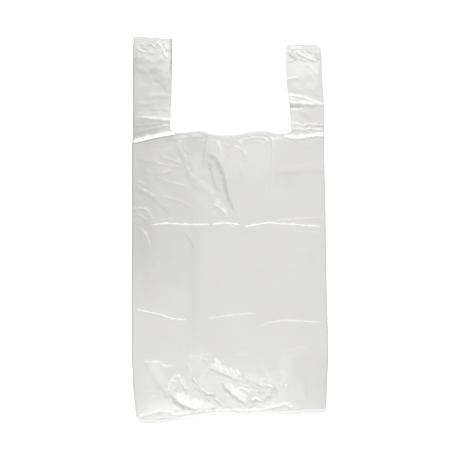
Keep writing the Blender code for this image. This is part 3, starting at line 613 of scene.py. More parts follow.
FRONT_WRINKLES = (
    LEFT_HANDLE_WRINKLES + RIGHT_HANDLE_WRINKLES + UPPER_BODY_WRINKLES + PACK_CREASES + LOWER_BODY_WRINKLES
    + BOTTOM_WRINKLES
)

CRUMPLES = (
    # The white ridge, the leaf, the lit patches and the weld at the bottom
    Crumple(1.6, 4.6, 12.0, ((-44.0, -206.0), (-25.0, -212.0), (-3.0, -221.0), (18.0, -227.0))),
    Crumple(1.6, 4.2, 14.0, ((20.0, -233.0), (40.0, -240.0), (60.0, -248.0), (66.0, -256.0))),
    Crumple(1.3, 5.4, 12.0, ((-92.0, -250.0), (-82.0, -234.0), (-76.0, -250.0))),
    Crumple(0.7, 6.0, 10.0, ((-84.0, -262.0), (-62.0, -272.0), (-40.0, -277.0))),
    Crumple(1.6, 4.4, 10.0, ((-6.0, -246.0), (12.0, -258.0), (26.0, -268.0))),
    Crumple(1.6, 4.2, 12.0, ((36.0, -262.0), (50.0, -264.0), (64.0, -260.0))),
    Crumple(1.2, 4.0, 8.0, ((-146.0, -296.0), (-116.0, -288.0), (-84.0, -284.0), (-40.0, -286.0))),
    Crumple(1.0, 4.0, 7.0, (
        (-40.0, -286.0), (0.0, -283.0), (40.0, -281.0), (70.0, -279.0), (96.0, -276.0),
    )),
    Crumple(0.8, 4.6, 8.0, ((-38.0, -258.0), (-22.0, -268.0), (-8.0, -276.0))),
    Crumple(0.5, 9.0, 40.0, ((-120.0, -240.0), (-60.0, -240.0), (0.0, -240.0), (70.0, -240.0))),
    # The left edge and the left handle
    Crumple(0.7, 5.2, 13.0, ((-148.0, 33.0), (-132.0, 24.0), (-132.0, -2.0), (-126.0, -24.0))),
    Crumple(0.7, 9.0, 46.0, ((-126.0, 120.0), (-122.0, 60.0), (-122.0, 0.0), (-126.0, -90.0))),
    Crumple(0.6, 7.0, 34.0, ((-122.0, 290.0), (-122.0, 165.0))),
    Crumple(0.8, 4.4, 12.0, ((-128.0, 288.0), (-112.0, 286.0), (-98.0, 286.0))),
    Crumple(0.4, 5.0, 10.0, ((-148.0, 150.0), (-124.0, 156.0), (-98.0, 164.0))),
    # The right handle
    Crumple(0.25, 8.0, 34.0, ((119.0, 280.0), (120.0, 165.0))),
    Crumple(0.9, 4.8, 13.0, ((97.0, 278.0), (120.0, 278.0), (138.0, 272.0))),
    Crumple(0.8, 4.2, 7.0, ((97.0, 158.0), (120.0, 158.0), (148.0, 158.0))),
    # The pale ridge under the left handle, and the mouth
    Crumple(1.2, 6.4, 12.0, ((-82.0, 132.0), (-62.0, 92.0), (-36.0, 58.0), (-8.0, 26.0))),
    Crumple(0.5, 5.4, 11.0, ((-76.0, 146.0), (-40.0, 144.0), (0.0, 138.0), (30.0, 140.0), (60.0, 144.0))),
    # The creased left edge above the pack's fold
    Crumple(1.1, 6.4, 12.0, (
        (-150.0, 66.0), (-132.0, 59.0), (-116.0, 48.0), (-104.0, 37.0), (-92.0, 25.0),
    )),
)

PAINTED_LIGHT_AND_TONE = (
    # Painted shade: greyer down the left side and on the left handle, darkest over its root, and a little
    # greyer over the middle and the lower right
    Cloud(-0.095, (-154.0, 90.0), (140.0, 260.0)),
    Cloud(-0.075, (-154.0, 60.0), (50.0, 200.0)),
    Cloud(-0.045, (-122.0, 290.0), (60.0, 110.0)),
    Cloud(-0.11, (-136.0, 270.0), (42.0, 46.0)),
    Cloud(-0.05, (-108.0, 248.0), (24.0, 24.0)),
    Cloud(-0.08, (-104.0, 144.0), (32.0, 10.0)),
    Cloud(-0.06, (-128.0, 160.0), (50.0, 20.0)),
    Cloud(-0.030, (-34.0, 88.0), (105.0, 105.0)),
    Cloud(-0.022, (40.0, 10.0), (230.0, 190.0)),
    Cloud(-0.035, (134.0, -235.0), (52.0, 75.0)),
    # The gusset's inner fold, which shows through as a darker stripe
    Cloud(-0.03, (-57.0, -80.0), (13.0, 130.0)),
    # Painted shade: darker patches beside the folds that drop from the mouth, and on the right handle
    Cloud(-0.07, (-34.0, 110.0), (17.0, 24.0)),
    Cloud(-0.07, (-54.0, 134.0), (22.0, 22.0)),
    Cloud(-0.05, (-21.0, 90.0), (17.0, 28.0)),
    Cloud(-0.055, (104.0, 257.0), (46.0, 54.0)),
    Cloud(-0.03, (86.0, 82.0), (28.0, 18.0)),
    Cloud(-0.025, (120.0, 132.0), (50.0, 14.0)),
    # Painted light: whiter towards the bottom and on its lit crumples, with painted shade in one hollow
    Cloud(0.03, (-40.0, -290.0), (260.0, 170.0)),
    Cloud(0.03, (-130.0, -280.0), (60.0, 60.0)),
    Cloud(0.09, (-52.0, -286.0), (110.0, 16.0)),
    Cloud(0.12, (82.0, -282.0), (36.0, 13.0)),
    Cloud(0.03, (10.0, -240.0), (70.0, 50.0)),
    Cloud(0.06, (-52.0, -208.0), (18.0, 28.0)),
    Cloud(0.05, (-116.0, -224.0), (22.0, 24.0)),
    Cloud(0.07, (-100.0, -281.0), (40.0, 14.0)),
    Cloud(0.05, (48.0, -240.0), (36.0, 24.0)),
    Cloud(0.07, (57.0, -267.0), (22.0, 14.0)),
    Cloud(0.04, (86.0, -218.0), (13.0, 28.0)),
    Cloud(-0.05, (-20.0, -250.0), (18.0, 16.0)),
)

# The back panel's own wrinkles, which lift it off the floor
BACK_WRINKLES = (
    Wrinkle(1.0, 20.0, 20.0, ((-120.0, 106.0), (15.0, -27.0)), soft=1.0, fade=(30, 30)),
    Wrinkle(0.8, 18.0, 18.0, ((135.0, -18.0), (45.0, -160.0)), soft=1.0, fade=(30, 30)),
    Wrinkle(0.8, 16.0, 16.0, ((-135.0, -134.0), (-15.0, -214.0)), soft=1.0, fade=(30, 30)),
)


def mix(low, high, share):
    return low + (high - low) * share


def ease(share):
    """0 to 1 with no kink at either end, for shares that may overshoot."""
    share = np.clip(share, 0.0, 1.0)
    return share * share * (3 - 2 * share)


def swell(share):
    """How a pocket of film fills out with the distance from its weld."""
    return np.sin(np.pi / 2 * np.clip(share, 0.0, 1.0))


def quarter_round(depth):
    """How a fold's round side rises, from 0 at the fold to 1 a radius away from it."""
    return np.sqrt(1 - (1 - np.clip(depth, 0.0, 1.0)) ** 2)


def height_along(edge, x):
    """The height of an edge at x. The edge's points run to the right."""
    edge = np.array(edge)
    return np.interp(x, edge[:, 0], edge[:, 1])


def resampled(route, pitch):
    """The route at even steps no longer than the pitch."""
    route = np.array(route, float)
    run = np.concatenate([[0.0], np.cumsum(np.hypot(*np.diff(route, axis=0).T))])
    steps = max(1, math.ceil(run[-1] / pitch))
    at = np.linspace(0.0, run[-1], steps + 1)
    return np.stack([np.interp(at, run, route[:, axis]) for axis in (0, 1)], axis=1)


def rounded(route):
    """The route as a smooth curve through its points."""
    route = np.array(route, float)
    if len(route) < 3:
        return route
    before = np.vstack([2 * route[0] - route[1], route[:-2]])
    after = np.vstack([route[2:], 2 * route[-1] - route[-2]])
    places = []
    for index in range(len(route) - 1):
        start, end = route[index], route[index + 1]
        low, high = before[index], after[index]
        for share in np.linspace(0.0, 1.0, 6)[:-1]:
            square, cube = share**2, share**3
            places.append(0.5 * (
                2 * start + (end - low) * share + (2 * low - 5 * start + 4 * end - high) * square
                + (3 * start - low - 3 * end + high) * cube
            ))
    return np.vstack([places, route[-1:]])


def beside_route(points, route):
    """How far each point is from a route, above zero on its left, and how far along it."""
    nearest = np.full(len(points), np.inf)
    side = np.ones(len(points))
    along = np.zeros(len(points))
    run = 0.0
    for start, end in zip(route, route[1:]):
        span = end - start
        length = float(np.hypot(*span))
        share = np.clip((points - start) @ span / length**2, 0.0, 1.0)
        away = points - start - share[:, None] * span
        distance = np.hypot(away[:, 0], away[:, 1])
        nearer = distance < nearest
        nearest[nearer] = distance[nearer]
        side[nearer] = np.sign(span[0] * away[nearer, 1] - span[1] * away[nearer, 0])
        along[nearer] = run + share[nearer] * length
        run += length
    return nearest * side, along, run


def around_route(points, route, reach):
    """Which points lie in the box around a route, grown by the reach."""
    return np.all((points > route.min(axis=0) - reach) & (points < route.max(axis=0) + reach), axis=1)


def wrinkle_shape(points, wrinkle):
    """(share of the crest's height, whitening and painted highlight less painted shade) at each point."""
    route = rounded(wrinkle.route)
    near = around_route(points, route, 1.3 * max(wrinkle.left, wrinkle.right))
    lift, whitening_and_painted_highlight = np.zeros(len(points)), np.zeros(len(points))
    if not near.any():
        return lift, whitening_and_painted_highlight
    wander = WANDER_SHARE * min(wrinkle.left, wrinkle.right, WANDER_LIMIT)
    stray = np.stack([facets(points[near], WANDER_SIZE, seed) for seed in (1.3, 4.1)], axis=1)
    offset, along, run = beside_route(points[near] + wander * stray, route)
    taper = np.ones(len(along))
    for gap, fade in zip((along, run - along), wrinkle.fade):
        if fade:
            taper *= np.sqrt(ease(gap / fade))
    quick, slow = np.sin(along * 0.31 + route[0, 0]), np.sin(along * 0.12 + route[0, 1])
    taper *= 1 + CREST_UNEVENNESS * quick * slow
    width = np.where(offset > 0, wrinkle.left, wrinkle.right) * np.maximum(taper, 0.02)
    side = np.clip(1 - np.abs(offset) / width, 0.0, 1.0)
    lift[near] = taper * mix(side, (1 - (1 - side) ** 2) ** 2, wrinkle.soft)
    # crest lays the whitening and painted highlight over the left side; foot lays the painted shade on the
    # right side
    crest = np.where(offset > 0, ease(side * 2.5), ease(side * 3 - 2))
    foot = np.where(offset > 0, 0.0, ease(side * 1.8) * ease(2.4 - side * 2.4))
    whitening_and_painted_highlight[near] = (wrinkle.whitening_and_painted_highlight * crest - wrinkle.shade * foot) * np.clip(taper, 0.0, 1.0)
    return lift, whitening_and_painted_highlight


def wrinkle_lift(points, wrinkles):
    return sum(wrinkle.height * wrinkle_shape(points, wrinkle)[0] for wrinkle in wrinkles)


def patch_share(points, route, reach):
    """1 on a patch's route, falling smoothly to 0 at its reach."""
    route = np.array(route)
    share = np.zeros(len(points))
    near = around_route(points, route, reach)
    if near.any():
        offset, _, _ = beside_route(points[near], route)
        share[near] = ease(1.6 * (1 - np.abs(offset) / reach))
    return share


def crumple_lift(points):
    lift = np.zeros(len(points))
    for turn, crumple in enumerate(CRUMPLES):
        share = patch_share(points, crumple.route, crumple.reach)
        near = share > 0
        lift[near] += crumple.height * share[near] * facets(points[near], crumple.size, 0.9 * turn)
    return lift


def painted_light_and_tone(points):
    """Where the film is whiter, above 0, or greyer, below 0: painted light, painted shade and tone."""
    total = np.zeros(len(points))
    for cloud in PAINTED_LIGHT_AND_TONE:
        away = np.abs(points - cloud.centre) / cloud.reach
        total += cloud.strength * np.prod(ease(1.5 * (1 - away)), axis=1)
    return total


def facets(points, size, seed):
    """Flat facets with sharp creases between them, from -1 to 1, as in crumpled film."""
    total = np.zeros(len(points))
    for turn in range(5):
        angle = seed + 2.4 * turn
        across = points @ np.array([math.cos(angle), math.sin(angle)])
        along = points @ np.array([-math.sin(angle), math.cos(angle)])
        wave = across / (size * (1 + 0.37 * turn)) + 0.55 * np.sin(along / (size * 1.9) + seed * turn)
        total += np.abs(wave % 2 - 1) * 2 - 1
    return total / 5


class Lie:
    """Where the film lies: outlines and heights over the flat bag, in millimetres."""

    def __init__(self, loft):
        self.loft = loft

    def side(self, points):
        """How far out the folded side is at each point's height up the bag."""
        sides = []
        for outline in (LEFT_SIDE[::-1], RIGHT_SIDE):
            route = np.array(outline)
            sides.append(np.abs(np.interp(points[:, 1], route[:, 1], route[:, 0])))
        return np.where(points[:, 0] < 0, sides[0], sides[1])

    def from_welds(self, points):
        """How far each point is above the bottom weld, and below its handle's weld."""
        x, y = points[:, 0], points[:, 1]
        low = height_along(BOTTOM_EDGE, x)
        top = np.where(x < 0, height_along(LEFT_TOP[::-1], x), height_along(RIGHT_TOP[::-1], x))
        return y - low - SEAL_WIDTH, top - SEAL_WIDTH - y

    def gap(self, points):
        """How far the front panel stands above the back panel, before its wrinkles."""
        loft = self.loft
        above_weld, below_weld = self.from_welds(points)
        share = np.clip(np.abs(points[:, 0]) / self.side(points), 0.0, 1.0)
        body = mix(loft.middle, loft.side, share**BODY_FULLNESS) / MM
        along = (points[:, 1] - MOUTH_LINE) / HANDLE_LENGTH
        across = (np.abs(points[:, 0]) - (HALF_WIDTH + CUT_LINE) / 2) / ((HALF_WIDTH - CUT_LINE) / 2)
        strap = loft.handle / MM * (1 - STRAP_EDGE_LOSS * np.clip(across, -1.0, 1.0) ** 4)
        strap = strap * np.where(points[:, 0] < 0, LEFT_STRAP_SHARE, 1.0)
        height = mix(body, strap, ease(along * 3)) - self.droop(points)
        height = height * swell(above_weld / (loft.fill_run / MM))
        return height * swell(below_weld / (loft.weld_run / MM))

    def droop(self, points):
        """How far the front panel's lip hangs down into the mouth."""
        below_lip = height_along(MOUTH_EDGE[::-1], points[:, 0]) - points[:, 1]
        in_mouth = ease((CUT_LINE - 2 - np.abs(points[:, 0])) / LIP_SIDE_RUN)
        return LIP_DROOP * in_mouth * (1 - ease(below_lip / LIP_RUN))

    def rise(self, points):
        """How far the whole bag stands off the floor: the back's wrinkles and the weld's ripple."""
        x = points[:, 0]
        above_weld, below_weld = self.from_welds(points)
        lift = wrinkle_lift(points, BACK_WRINKLES)
        near_weld = 1 - ease(above_weld / RIPPLE_REACH)
        ripple = WELD_RIPPLE + WELD_RIPPLE * np.sin(x / 13.0 + 1.2 * np.sin(x / 31.0))
        near_top = 1 - ease(below_weld / CURL_REACH)
        curl = TOP_CURL + TOP_CURL * np.sin(x / 7.0)
        return lift + near_weld * ripple + near_top * curl

    def creasing(self, points):
        """Every wrinkle of the front panel, fading out in the welds."""
        above_weld, below_weld = self.from_welds(points)
        lift = wrinkle_lift(points, FRONT_WRINKLES) + crumple_lift(points)
        lift = lift + FILM_UNEVENNESS * facets(points, FILM_FACET, 4.2)
        return lift * ease((above_weld + 4.0) / 6) * ease((below_weld + 3.0) / 6)

    def share(self, ply, points):
        """How high a ply rides between the back and the front."""
        if ply in ("front", "back"):
            return np.full(len(points), float(ply == "front"))
        depth = (self.side(points) - np.abs(points[:, 0])) / (HALF_WIDTH - GUSSET_LINE)
        in_body = mix(OUTER_FOLD_SHARE, INNER_FOLD_SHARE, ease(depth))
        in_handle = ease((points[:, 1] - MOUTH_LINE + STRAP_RUN / 2) / STRAP_RUN)
        share = mix(in_body, STRAP_SHARE, in_handle)
        return share if ply == "rear gusset" else 1 - share

    def height(self, ply, points):
        """The height of a ply at each point, before it bends down to its folds."""
        share = self.share(ply, points)
        above_weld, below_weld = self.from_welds(points)
        apart = ease((above_weld + SEAL_WIDTH) / 1.0) * ease((below_weld + SEAL_WIDTH) / 1.0)
        step = PLY_STEP * PLY_ORDER.index(ply) * apart
        gap = self.gap(points)
        lift = np.zeros(len(points))
        if ply == "front":
            lift = self.creasing(points)
        elif ply != "back":
            for angle in range(0, 360, 60):
                turn = math.radians(angle)
                beside = points + GUSSET_LOOKOUT * np.array([math.cos(turn), math.sin(turn)])
                lift = np.minimum(lift, self.creasing(beside))
        above = np.maximum(gap + lift, LEAST_GAP_SHARE * gap)
        return WELD_HEIGHT + step + self.rise(points) + share * above

    def fold_height(self, ply, points):
        """The height of the outer fold that a ply ends in."""
        if ply in ("front", "front gusset"):
            gap = self.gap(points)
            low = np.maximum(gap * FRONT_FOLD_SHARE - FRONT_FOLD_DROP, gap * LEAST_FOLD_SHARE)
        else:
            low = self.gap(points) * OUTER_FOLD_SHARE / 2
        return WELD_HEIGHT + self.rise(points) + low


PLY_ORDER = ("back", "rear gusset", "front gusset", "front")


def outline(ply, side):
    """The closed outline of a ply, anticlockwise, as named stretches. Gussets lie on one side."""
    if ply in ("front", "back"):
        mouth = MOUTH_EDGE if ply == "front" else BACK_MOUTH_EDGE
        right = (("fold", RIGHT_SIDE), ("weld", RIGHT_TOP), ("cut", RIGHT_CUT))
        left = (("cut", LEFT_CUT), ("weld", LEFT_TOP), ("fold", LEFT_SIDE))
        return (("weld", BOTTOM_EDGE), *right, ("cut", mouth), *left)
    line = side * GUSSET_LINE
    foot = (line, bottom_height(line))
    if side > 0:
        mouth = tuple(place for place in MOUTH_EDGE if place[0] > line) + (lip_at(line),)
        bottom = (foot,) + tuple(place for place in BOTTOM_EDGE if place[0] > line)
        return (
            ("weld", bottom), ("fold", RIGHT_SIDE), ("weld", RIGHT_TOP), ("cut", RIGHT_CUT), ("cut", mouth),
            ("inner", (lip_at(line), foot)),
        )
    mouth = (lip_at(line),) + tuple(place for place in MOUTH_EDGE if place[0] < line)
    bottom = tuple(place for place in BOTTOM_EDGE if place[0] < line) + (foot,)
    return (
        ("weld", bottom), ("inner", (foot, lip_at(line))), ("cut", mouth), ("cut", LEFT_CUT),
        ("weld", LEFT_TOP), ("fold", LEFT_SIDE),
    )


def bottom_height(x):
    return float(height_along(BOTTOM_EDGE, x))


def lip_at(x):
    """The point of the front lip of the mouth at x."""
    return (x, float(height_along(MOUTH_EDGE[::-1], x)))


def stations(edge, pitch):
    """Points along one stretch of an outline, at the same places for every ply that shares it."""
    marks = [edge[0]]
    if edge is BOTTOM_EDGE or (edge[0] in BOTTOM_EDGE) != (edge[-1] in BOTTOM_EDGE):
        low, high = edge[0][0], edge[-1][0]
        marks += [(x, bottom_height(x)) for x in (-GUSSET_LINE, GUSSET_LINE) if low < x < high]
    marks.append(edge[-1])
    route = np.array(edge)
    if len(marks) == 2:
        return resampled(route, pitch)
    parts = []
    for start, end in zip(marks, marks[1:]):
        inside = [place for place in edge if start[0] < place[0] < end[0]]
        parts.append(resampled([start, *inside, end], pitch)[:-1])
    return np.vstack(parts + [[marks[-1]]])


def lanes(wrinkle, pitch):
    """Points along a wrinkle's crest, sides and feet, so that the facets follow it."""
    route = resampled(rounded(wrinkle.route), pitch)
    heading = np.gradient(route, axis=0)
    heading /= np.hypot(heading[:, 0], heading[:, 1])[:, None]
    across = np.stack([-heading[:, 1], heading[:, 0]], axis=1)
    offsets = [0.0]
    for side, width in ((1, wrinkle.left), (-1, wrinkle.right)):
        shares = (0.22, 0.62, 1.0) if width < 4.5 else (0.12, 0.35, 0.65, 0.96)
        offsets += [side * width * share for share in shares]
    return np.vstack([route + offset * across for offset in offsets])


def hexagons(pitch):
    """Even points over the whole bag, with a small fixed jitter."""
    rows = []
    height = pitch * math.sqrt(3) / 2
    for row in range(int(NET_LENGTH / height)):
        x = np.arange(-NET_HALF_WIDTH, NET_HALF_WIDTH, pitch) + (row % 2) * pitch / 2
        rows.append(np.stack([x, np.full(len(x), NET_LOW + row * height)], axis=1))
    places = np.vstack(rows)
    jitter = np.stack([np.sin(places[:, 1] * 7.3), np.sin(places[:, 0] * 5.9)], axis=1)
    return places + pitch * NET_JITTER * jitter


def inside_outline(points, ring):
    """Which points lie inside a closed ring."""
    inside = np.zeros(len(points), bool)
    for start, end in zip(ring, np.roll(ring, -1, axis=0)):
        if start[1] == end[1]:
            continue
        spans = (start[1] > points[:, 1]) != (end[1] > points[:, 1])
        cross = (end[0] - start[0]) * (points[:, 1] - start[1]) / (end[1] - start[1]) + start[0]
        inside ^= spans & (points[:, 0] < cross)
    return inside


def thinned(points, pitch):
    """Drops points that crowd others of the same small square."""
    _, kept = np.unique(np.round(points / pitch).astype(int), axis=0, return_index=True)
    return points[np.sort(kept)]


class Ply:
    """One panel of the film as a flat net of triangles, then laid at its heights."""

    def __init__(self, name, side, loft, pitch, edge_pitch):
        self.name = name
        self.side = side
        self.lie = Lie(loft)
        self.stretches = [(kind, stations(edge, edge_pitch)) for kind, edge in outline(name, side)]
        self.ring = np.vstack([places[:-1] for _, places in self.stretches])
        self.places, self.faces = self.net(pitch)

    def net(self, pitch):
        """(places, triangles) of the flat panel."""
        fine = hexagons(FINE_FRONT_PITCH if self.name == "front" else FINE_PITCH)
        above_weld, below_weld = self.lie.from_welds(fine)
        inner = [hexagons(pitch), fine[(above_weld < WELD_SURROUND) | (below_weld < WELD_SURROUND)]]
        if self.name == "front":
            crumpled = np.zeros(len(fine), bool)
            for crumple in CRUMPLES:
                if crumple.size < FINE_CRUMPLE:
                    crumpled |= patch_share(fine, crumple.route, crumple.reach) > 0.15
            inner += [fine[crumpled]]
            inner += [lanes(wrinkle, LANE_PITCH) for wrinkle in FRONT_WRINKLES]
        inner = np.vstack(inner)
        fold_rows = []
        for kind, places in self.stretches:
            if kind == "fold":
                inward = -math.copysign(1.0, places[0, 0])
                fold_rows += [places[1:-1] + (inward * step, 0.0) for step in FOLD_ROWS]
        inner = thinned(np.vstack(fold_rows + [inner]), CROWDED)
        inner = inner[inside_outline(inner, self.ring)]
        inner = inner[self.clearance(inner) > EDGE_CLEARANCE]
        corners = [Vector(place) for place in np.vstack([self.ring, inner])]
        count = len(self.ring)
        edges = [(index, (index + 1) % count) for index in range(count)]
        places, _, faces, *_ = delaunay_2d_cdt(corners, edges, [], 1, 1e-5)
        return np.array(places), faces

    def clearance(self, points):
        """How far each point is from the outline's own points."""
        gap = np.full(len(points), np.inf)
        order = np.argsort(points[:, 1])
        ordered = points[order, 1]
        for corner in self.ring:
            low, high = np.searchsorted(ordered, (corner[1] - 1.0, corner[1] + 1.0))
            near = order[low:high]
            away = points[near] - corner
            gap[near] = np.minimum(gap[near], np.hypot(away[:, 0], away[:, 1]))
        return gap

    def heights(self):
        """The height of each point, bent down to the folds and flat on the welds' edges."""
        places = self.places
        height = self.lie.height(self.name, places)
        fold = self.lie.fold_height(self.name, places)
        radius = FRONT_FOLD_RADIUS if self.name == "front" else LOWER_FOLD_RADIUS
        depth = self.lie.side(places) - np.abs(places[:, 0])
        height = mix(fold, height, quarter_round(depth / radius))
        if self.name in ("front gusset", "rear gusset"):
            inner = WELD_HEIGHT + self.lie.rise(places) + self.lie.gap(places) / 2
            depth = np.abs(places[:, 0]) - GUSSET_LINE
            height = mix(inner, height, quarter_round(depth / INNER_FOLD_RADIUS))
        welds = np.vstack([stretch for kind, stretch in self.stretches if kind == "weld"])
        weld_points = {tuple(place) for place in np.round(welds, 4)}
        on_weld = np.array([tuple(place) in weld_points for place in np.round(places, 4)])
        return np.where(on_weld, WELD_HEIGHT + self.lie.rise(places), height)

    def leaned(self):
        """The places after steep wrinkles have rolled over their lower side."""
        shift = np.zeros_like(self.places)
        if self.name != "front":
            return self.places
        for wrinkle in FRONT_WRINKLES:
            if wrinkle.lean:
                route = np.array(wrinkle.route)
                heading = route[-1] - route[0]
                heading /= np.hypot(*heading)
                roll = wrinkle.lean * wrinkle.height * wrinkle_shape(self.places, wrinkle)[0]
                shift += roll[:, None] * np.array([heading[1], -heading[0]])
        depth = self.lie.side(self.places) - np.abs(self.places[:, 0])
        return self.places + shift * (np.clip(depth, 0.0, LEAN_MARGIN) / LEAN_MARGIN)[:, None]


def film_geometry(film):
    """All plies joined at their folds and welds, as one mesh in metres."""
    net = bmesh.new()
    flat = net.loops.layers.uv.new("film")
    # The crease, fold and cloud masks carry painted highlights and painted shade, besides crease whitening,
    # weld paleness and tone
    tints = {"crease": crease_whitening_and_painted_light, "fused": weld_glow, "fold": fold_shade, "cloud": ply_painted_light_and_tone}
    layers = {name: net.verts.layers.float.new(name) for name in tints}
    plies = [("front", 0, film.facet / MM), ("back", 0, film.facet * BACK_FACETS / MM)]
    for name in ("front gusset", "rear gusset"):
        plies += [(name, side, film.facet * GUSSET_FACETS / MM) for side in (-1, 1)]
    for name, side, pitch in plies:
        ply = Ply(name, side, film, pitch, film.edge_facet / MM)
        heights = ply.heights()
        values = [(layers[name], tint(ply)) for name, tint in tints.items()]
        corners = []
        for index, (x, y) in enumerate(ply.leaned()):
            corner = net.verts.new((x * MM, y * MM, heights[index] * MM))
            for layer, value in values:
                corner[layer] = value[index]
            corners.append(corner)
        facing_up = ply.name in ("front", "rear gusset")
        shift = PLY_ORDER.index(ply.name) * UV_STEP
        for face in ply.faces:
            made = net.faces.new([corners[index] for index in (face if facing_up else face[::-1])])
            made.smooth = True
            for loop in made.loops:
                x, y = loop.vert.co.xy
                loop[flat].uv = (x + UV_ORIGIN[0] + shift, y + UV_ORIGIN[1])
    bmesh.ops.remove_doubles(net, verts=net.verts, dist=MERGE_DISTANCE)
    return net


def crease_whitening_and_painted_light(ply):
    """How far creases whiten the front, with crease whitening and painted highlights above 0, or grey it
    with painted shade below 0, from -1 to 1.
    """
    whitening_and_painted_highlight, shade = np.zeros(len(ply.places)), np.zeros(len(ply.places))
    if ply.name != "front":
        return whitening_and_painted_highlight
    for wrinkle in FRONT_WRINKLES:
        if wrinkle.whitening_and_painted_highlight or wrinkle.shade:
            tint = wrinkle_shape(ply.places, wrinkle)[1]
            whitening_and_painted_highlight = np.maximum(whitening_and_painted_highlight, tint)
            shade = np.minimum(shade, tint)
    fleck = mix(0.2, 0.75, ease((-170 - ply.places[:, 1]) / 20))
    return whitening_and_painted_highlight * np.clip(1.0 + fleck * facets(ply.places, FLECK_SIZE, 2.2), 0.0, 1.0) + shade


def weld_glow(ply):
    """How far the plies are fused and look paler, from 0 to 1. The bottom weld's ends are greyer."""
    across = ply.places[:, 0]
    above_weld, below_weld = ply.lie.from_welds(ply.places)
    bottom = 1 - RIGHT_END_GREY * ease((across - 50) / 60) - LEFT_END_GREY * ease((-60 - across) / 50)
    bottom = bottom * (1 - ease((above_weld + WELD_FRINGE / 2) / WELD_FRINGE))
    top = TOP_WELD_GLOW - ease((below_weld + WELD_FRINGE / 2) / WELD_FRINGE)
    return np.maximum(0.0, np.maximum(bottom, top))


def ply_painted_light_and_tone(ply):
    """How whiter or greyer each point is. Behind the mouth the back panel, a single sheet, is also whitened
    by painted light where the front lip shades it.
    """
    cloud = painted_light_and_tone(ply.places)
    if ply.name == "back":
        in_mouth = ease((CUT_LINE - np.abs(ply.places[:, 0])) / 8)
        cloud += SINGLE_SHEET_AND_PAINTED_LIGHT * ease((ply.places[:, 1] - 120) / 15) * in_mouth
    return cloud


def fold_shade(ply):
    """Painted shade along the folded sides and the handles' top edges, where the film turns down from the
    light, from 0 to 1.
    """
    places = ply.places
    _, below_weld = ply.lie.from_welds(places)
    depth = ply.lie.side(places) - np.abs(places[:, 0])
    low, high, width = LEFT_FOLD_SHADE
    left = mix(low, high, ease((places[:, 1] - 80) / 80)) * (1 - ease(depth / width))
    strength, width = RIGHT_FOLD_SHADE
    right = strength * (1 - ease(depth / width)) * (1 - ease((places[:, 1] - MOUTH_LINE) / 30))
    strength, width = TOP_FOLD_SHADE
    top = strength * (1 - ease((below_weld + SEAL_WIDTH) / width))
    return np.maximum(np.where(places[:, 0] < 0, left, right), top)


class CarrierBagFilm(PropertyGroup):
    """Sizes and finish of the film."""

    facet: FloatProperty(
        name="Facet", description="Spacing of the film's mesh away from its creases",
        default=0.0027, min=0.001, unit="LENGTH",
    )
    edge_facet: FloatProperty(
        name="Edge facet", description="Spacing of the film's mesh along its edges",
        default=0.0020, min=0.0005, unit="LENGTH",
    )
    middle: FloatProperty(
        name="Loft in the middle", description="Height of the front panel above the back, in the middle",
        default=0.0118, unit="LENGTH",
    )
    side: FloatProperty(
        name="Loft at the sides", description="Height of the front panel above the back, at its side folds",
        default=0.0028, unit="LENGTH",
    )
    handle: FloatProperty(
        name="Loft of the handles", description="Height of a handle's front strap above its back strap",
        default=0.0070, unit="LENGTH",
    )
    fill_run: FloatProperty(
        name="Fill run", description="Distance from the bottom weld at which the body is fully open",
        default=0.075, unit="LENGTH",
    )
    weld_run: FloatProperty(
        name="Weld run", description="Distance from a handle's weld at which the handle is fully open",
        default=0.070, unit="LENGTH",
    )
    colour: FloatVectorProperty(
        name="Film colour", description="Colour of the flat film", subtype="COLOR", size=4,
        default=(0.70, 0.695, 0.675, 1.0), min=0.0, max=1.0,
    )
    # Also the colour of the painted highlights on the lit sides of wrinkles
    haze_colour: FloatVectorProperty(
        name="Crease colour", description="Colour where a sharp crease has whitened the film",
        subtype="COLOR", size=4, default=(0.94, 0.94, 0.92, 1.0), min=0.0, max=1.0,
    )
    roughness: FloatProperty(
        name="Roughness", description="Roughness of the film's sheen", default=0.33, min=0.0, max=1.0,
        subtype="FACTOR",
    )


class CarrierBagSeals(PropertyGroup):
    """Sizes and finish of the seal beads."""

    bead_width: FloatProperty(
        name="Bead width", description="Width of the melted bead along a weld",
        default=0.0009, unit="LENGTH",
    )
    bead_height: FloatProperty(
        name="Bead height", description="Height of the melted bead along a weld",
        default=0.0004, unit="LENGTH",
    )
    colour: FloatVectorProperty(
        name="Bead colour", description="Colour of the fused film", subtype="COLOR", size=4,
        default=(0.74, 0.735, 0.715, 1.0), min=0.0, max=1.0,
    )


class CarrierBagStudio(PropertyGroup):
    """Light, floor and camera."""

    picture_width: FloatProperty(
        name="Picture width", description="Width of the floor that the camera takes in",
        default=0.7227, unit="LENGTH",
    )
    camera_height: FloatProperty(
        name="Camera height", description="Height of the camera above the floor",
        default=2.6, unit="LENGTH",
    )
    key: FloatProperty(
        name="Key light", description="Power of the lamp over the handles, in watts", default=41.0, min=0.0,
    )
    low_share: FloatProperty(
        name="Low lamp's share", description="Power of the lamp over the bottom, as a share of the key's",
        default=0.5, min=0.0, subtype="FACTOR",
    )
    fill: FloatProperty(
        name="Room light", description="Strength of the room's even light", default=0.5, min=0.0,
    )
    floor: FloatProperty(
        name="Floor glow", description="How much white the floor adds for the camera alone",
        default=0.35, min=0.0,
    )


def socket(tree, name, kind, default=None, output=False):
    made = tree.interface.new_socket(name=name, in_out="OUTPUT" if output else "INPUT", socket_type=kind)
    if default is not None:
        made.default_value = default
    return made


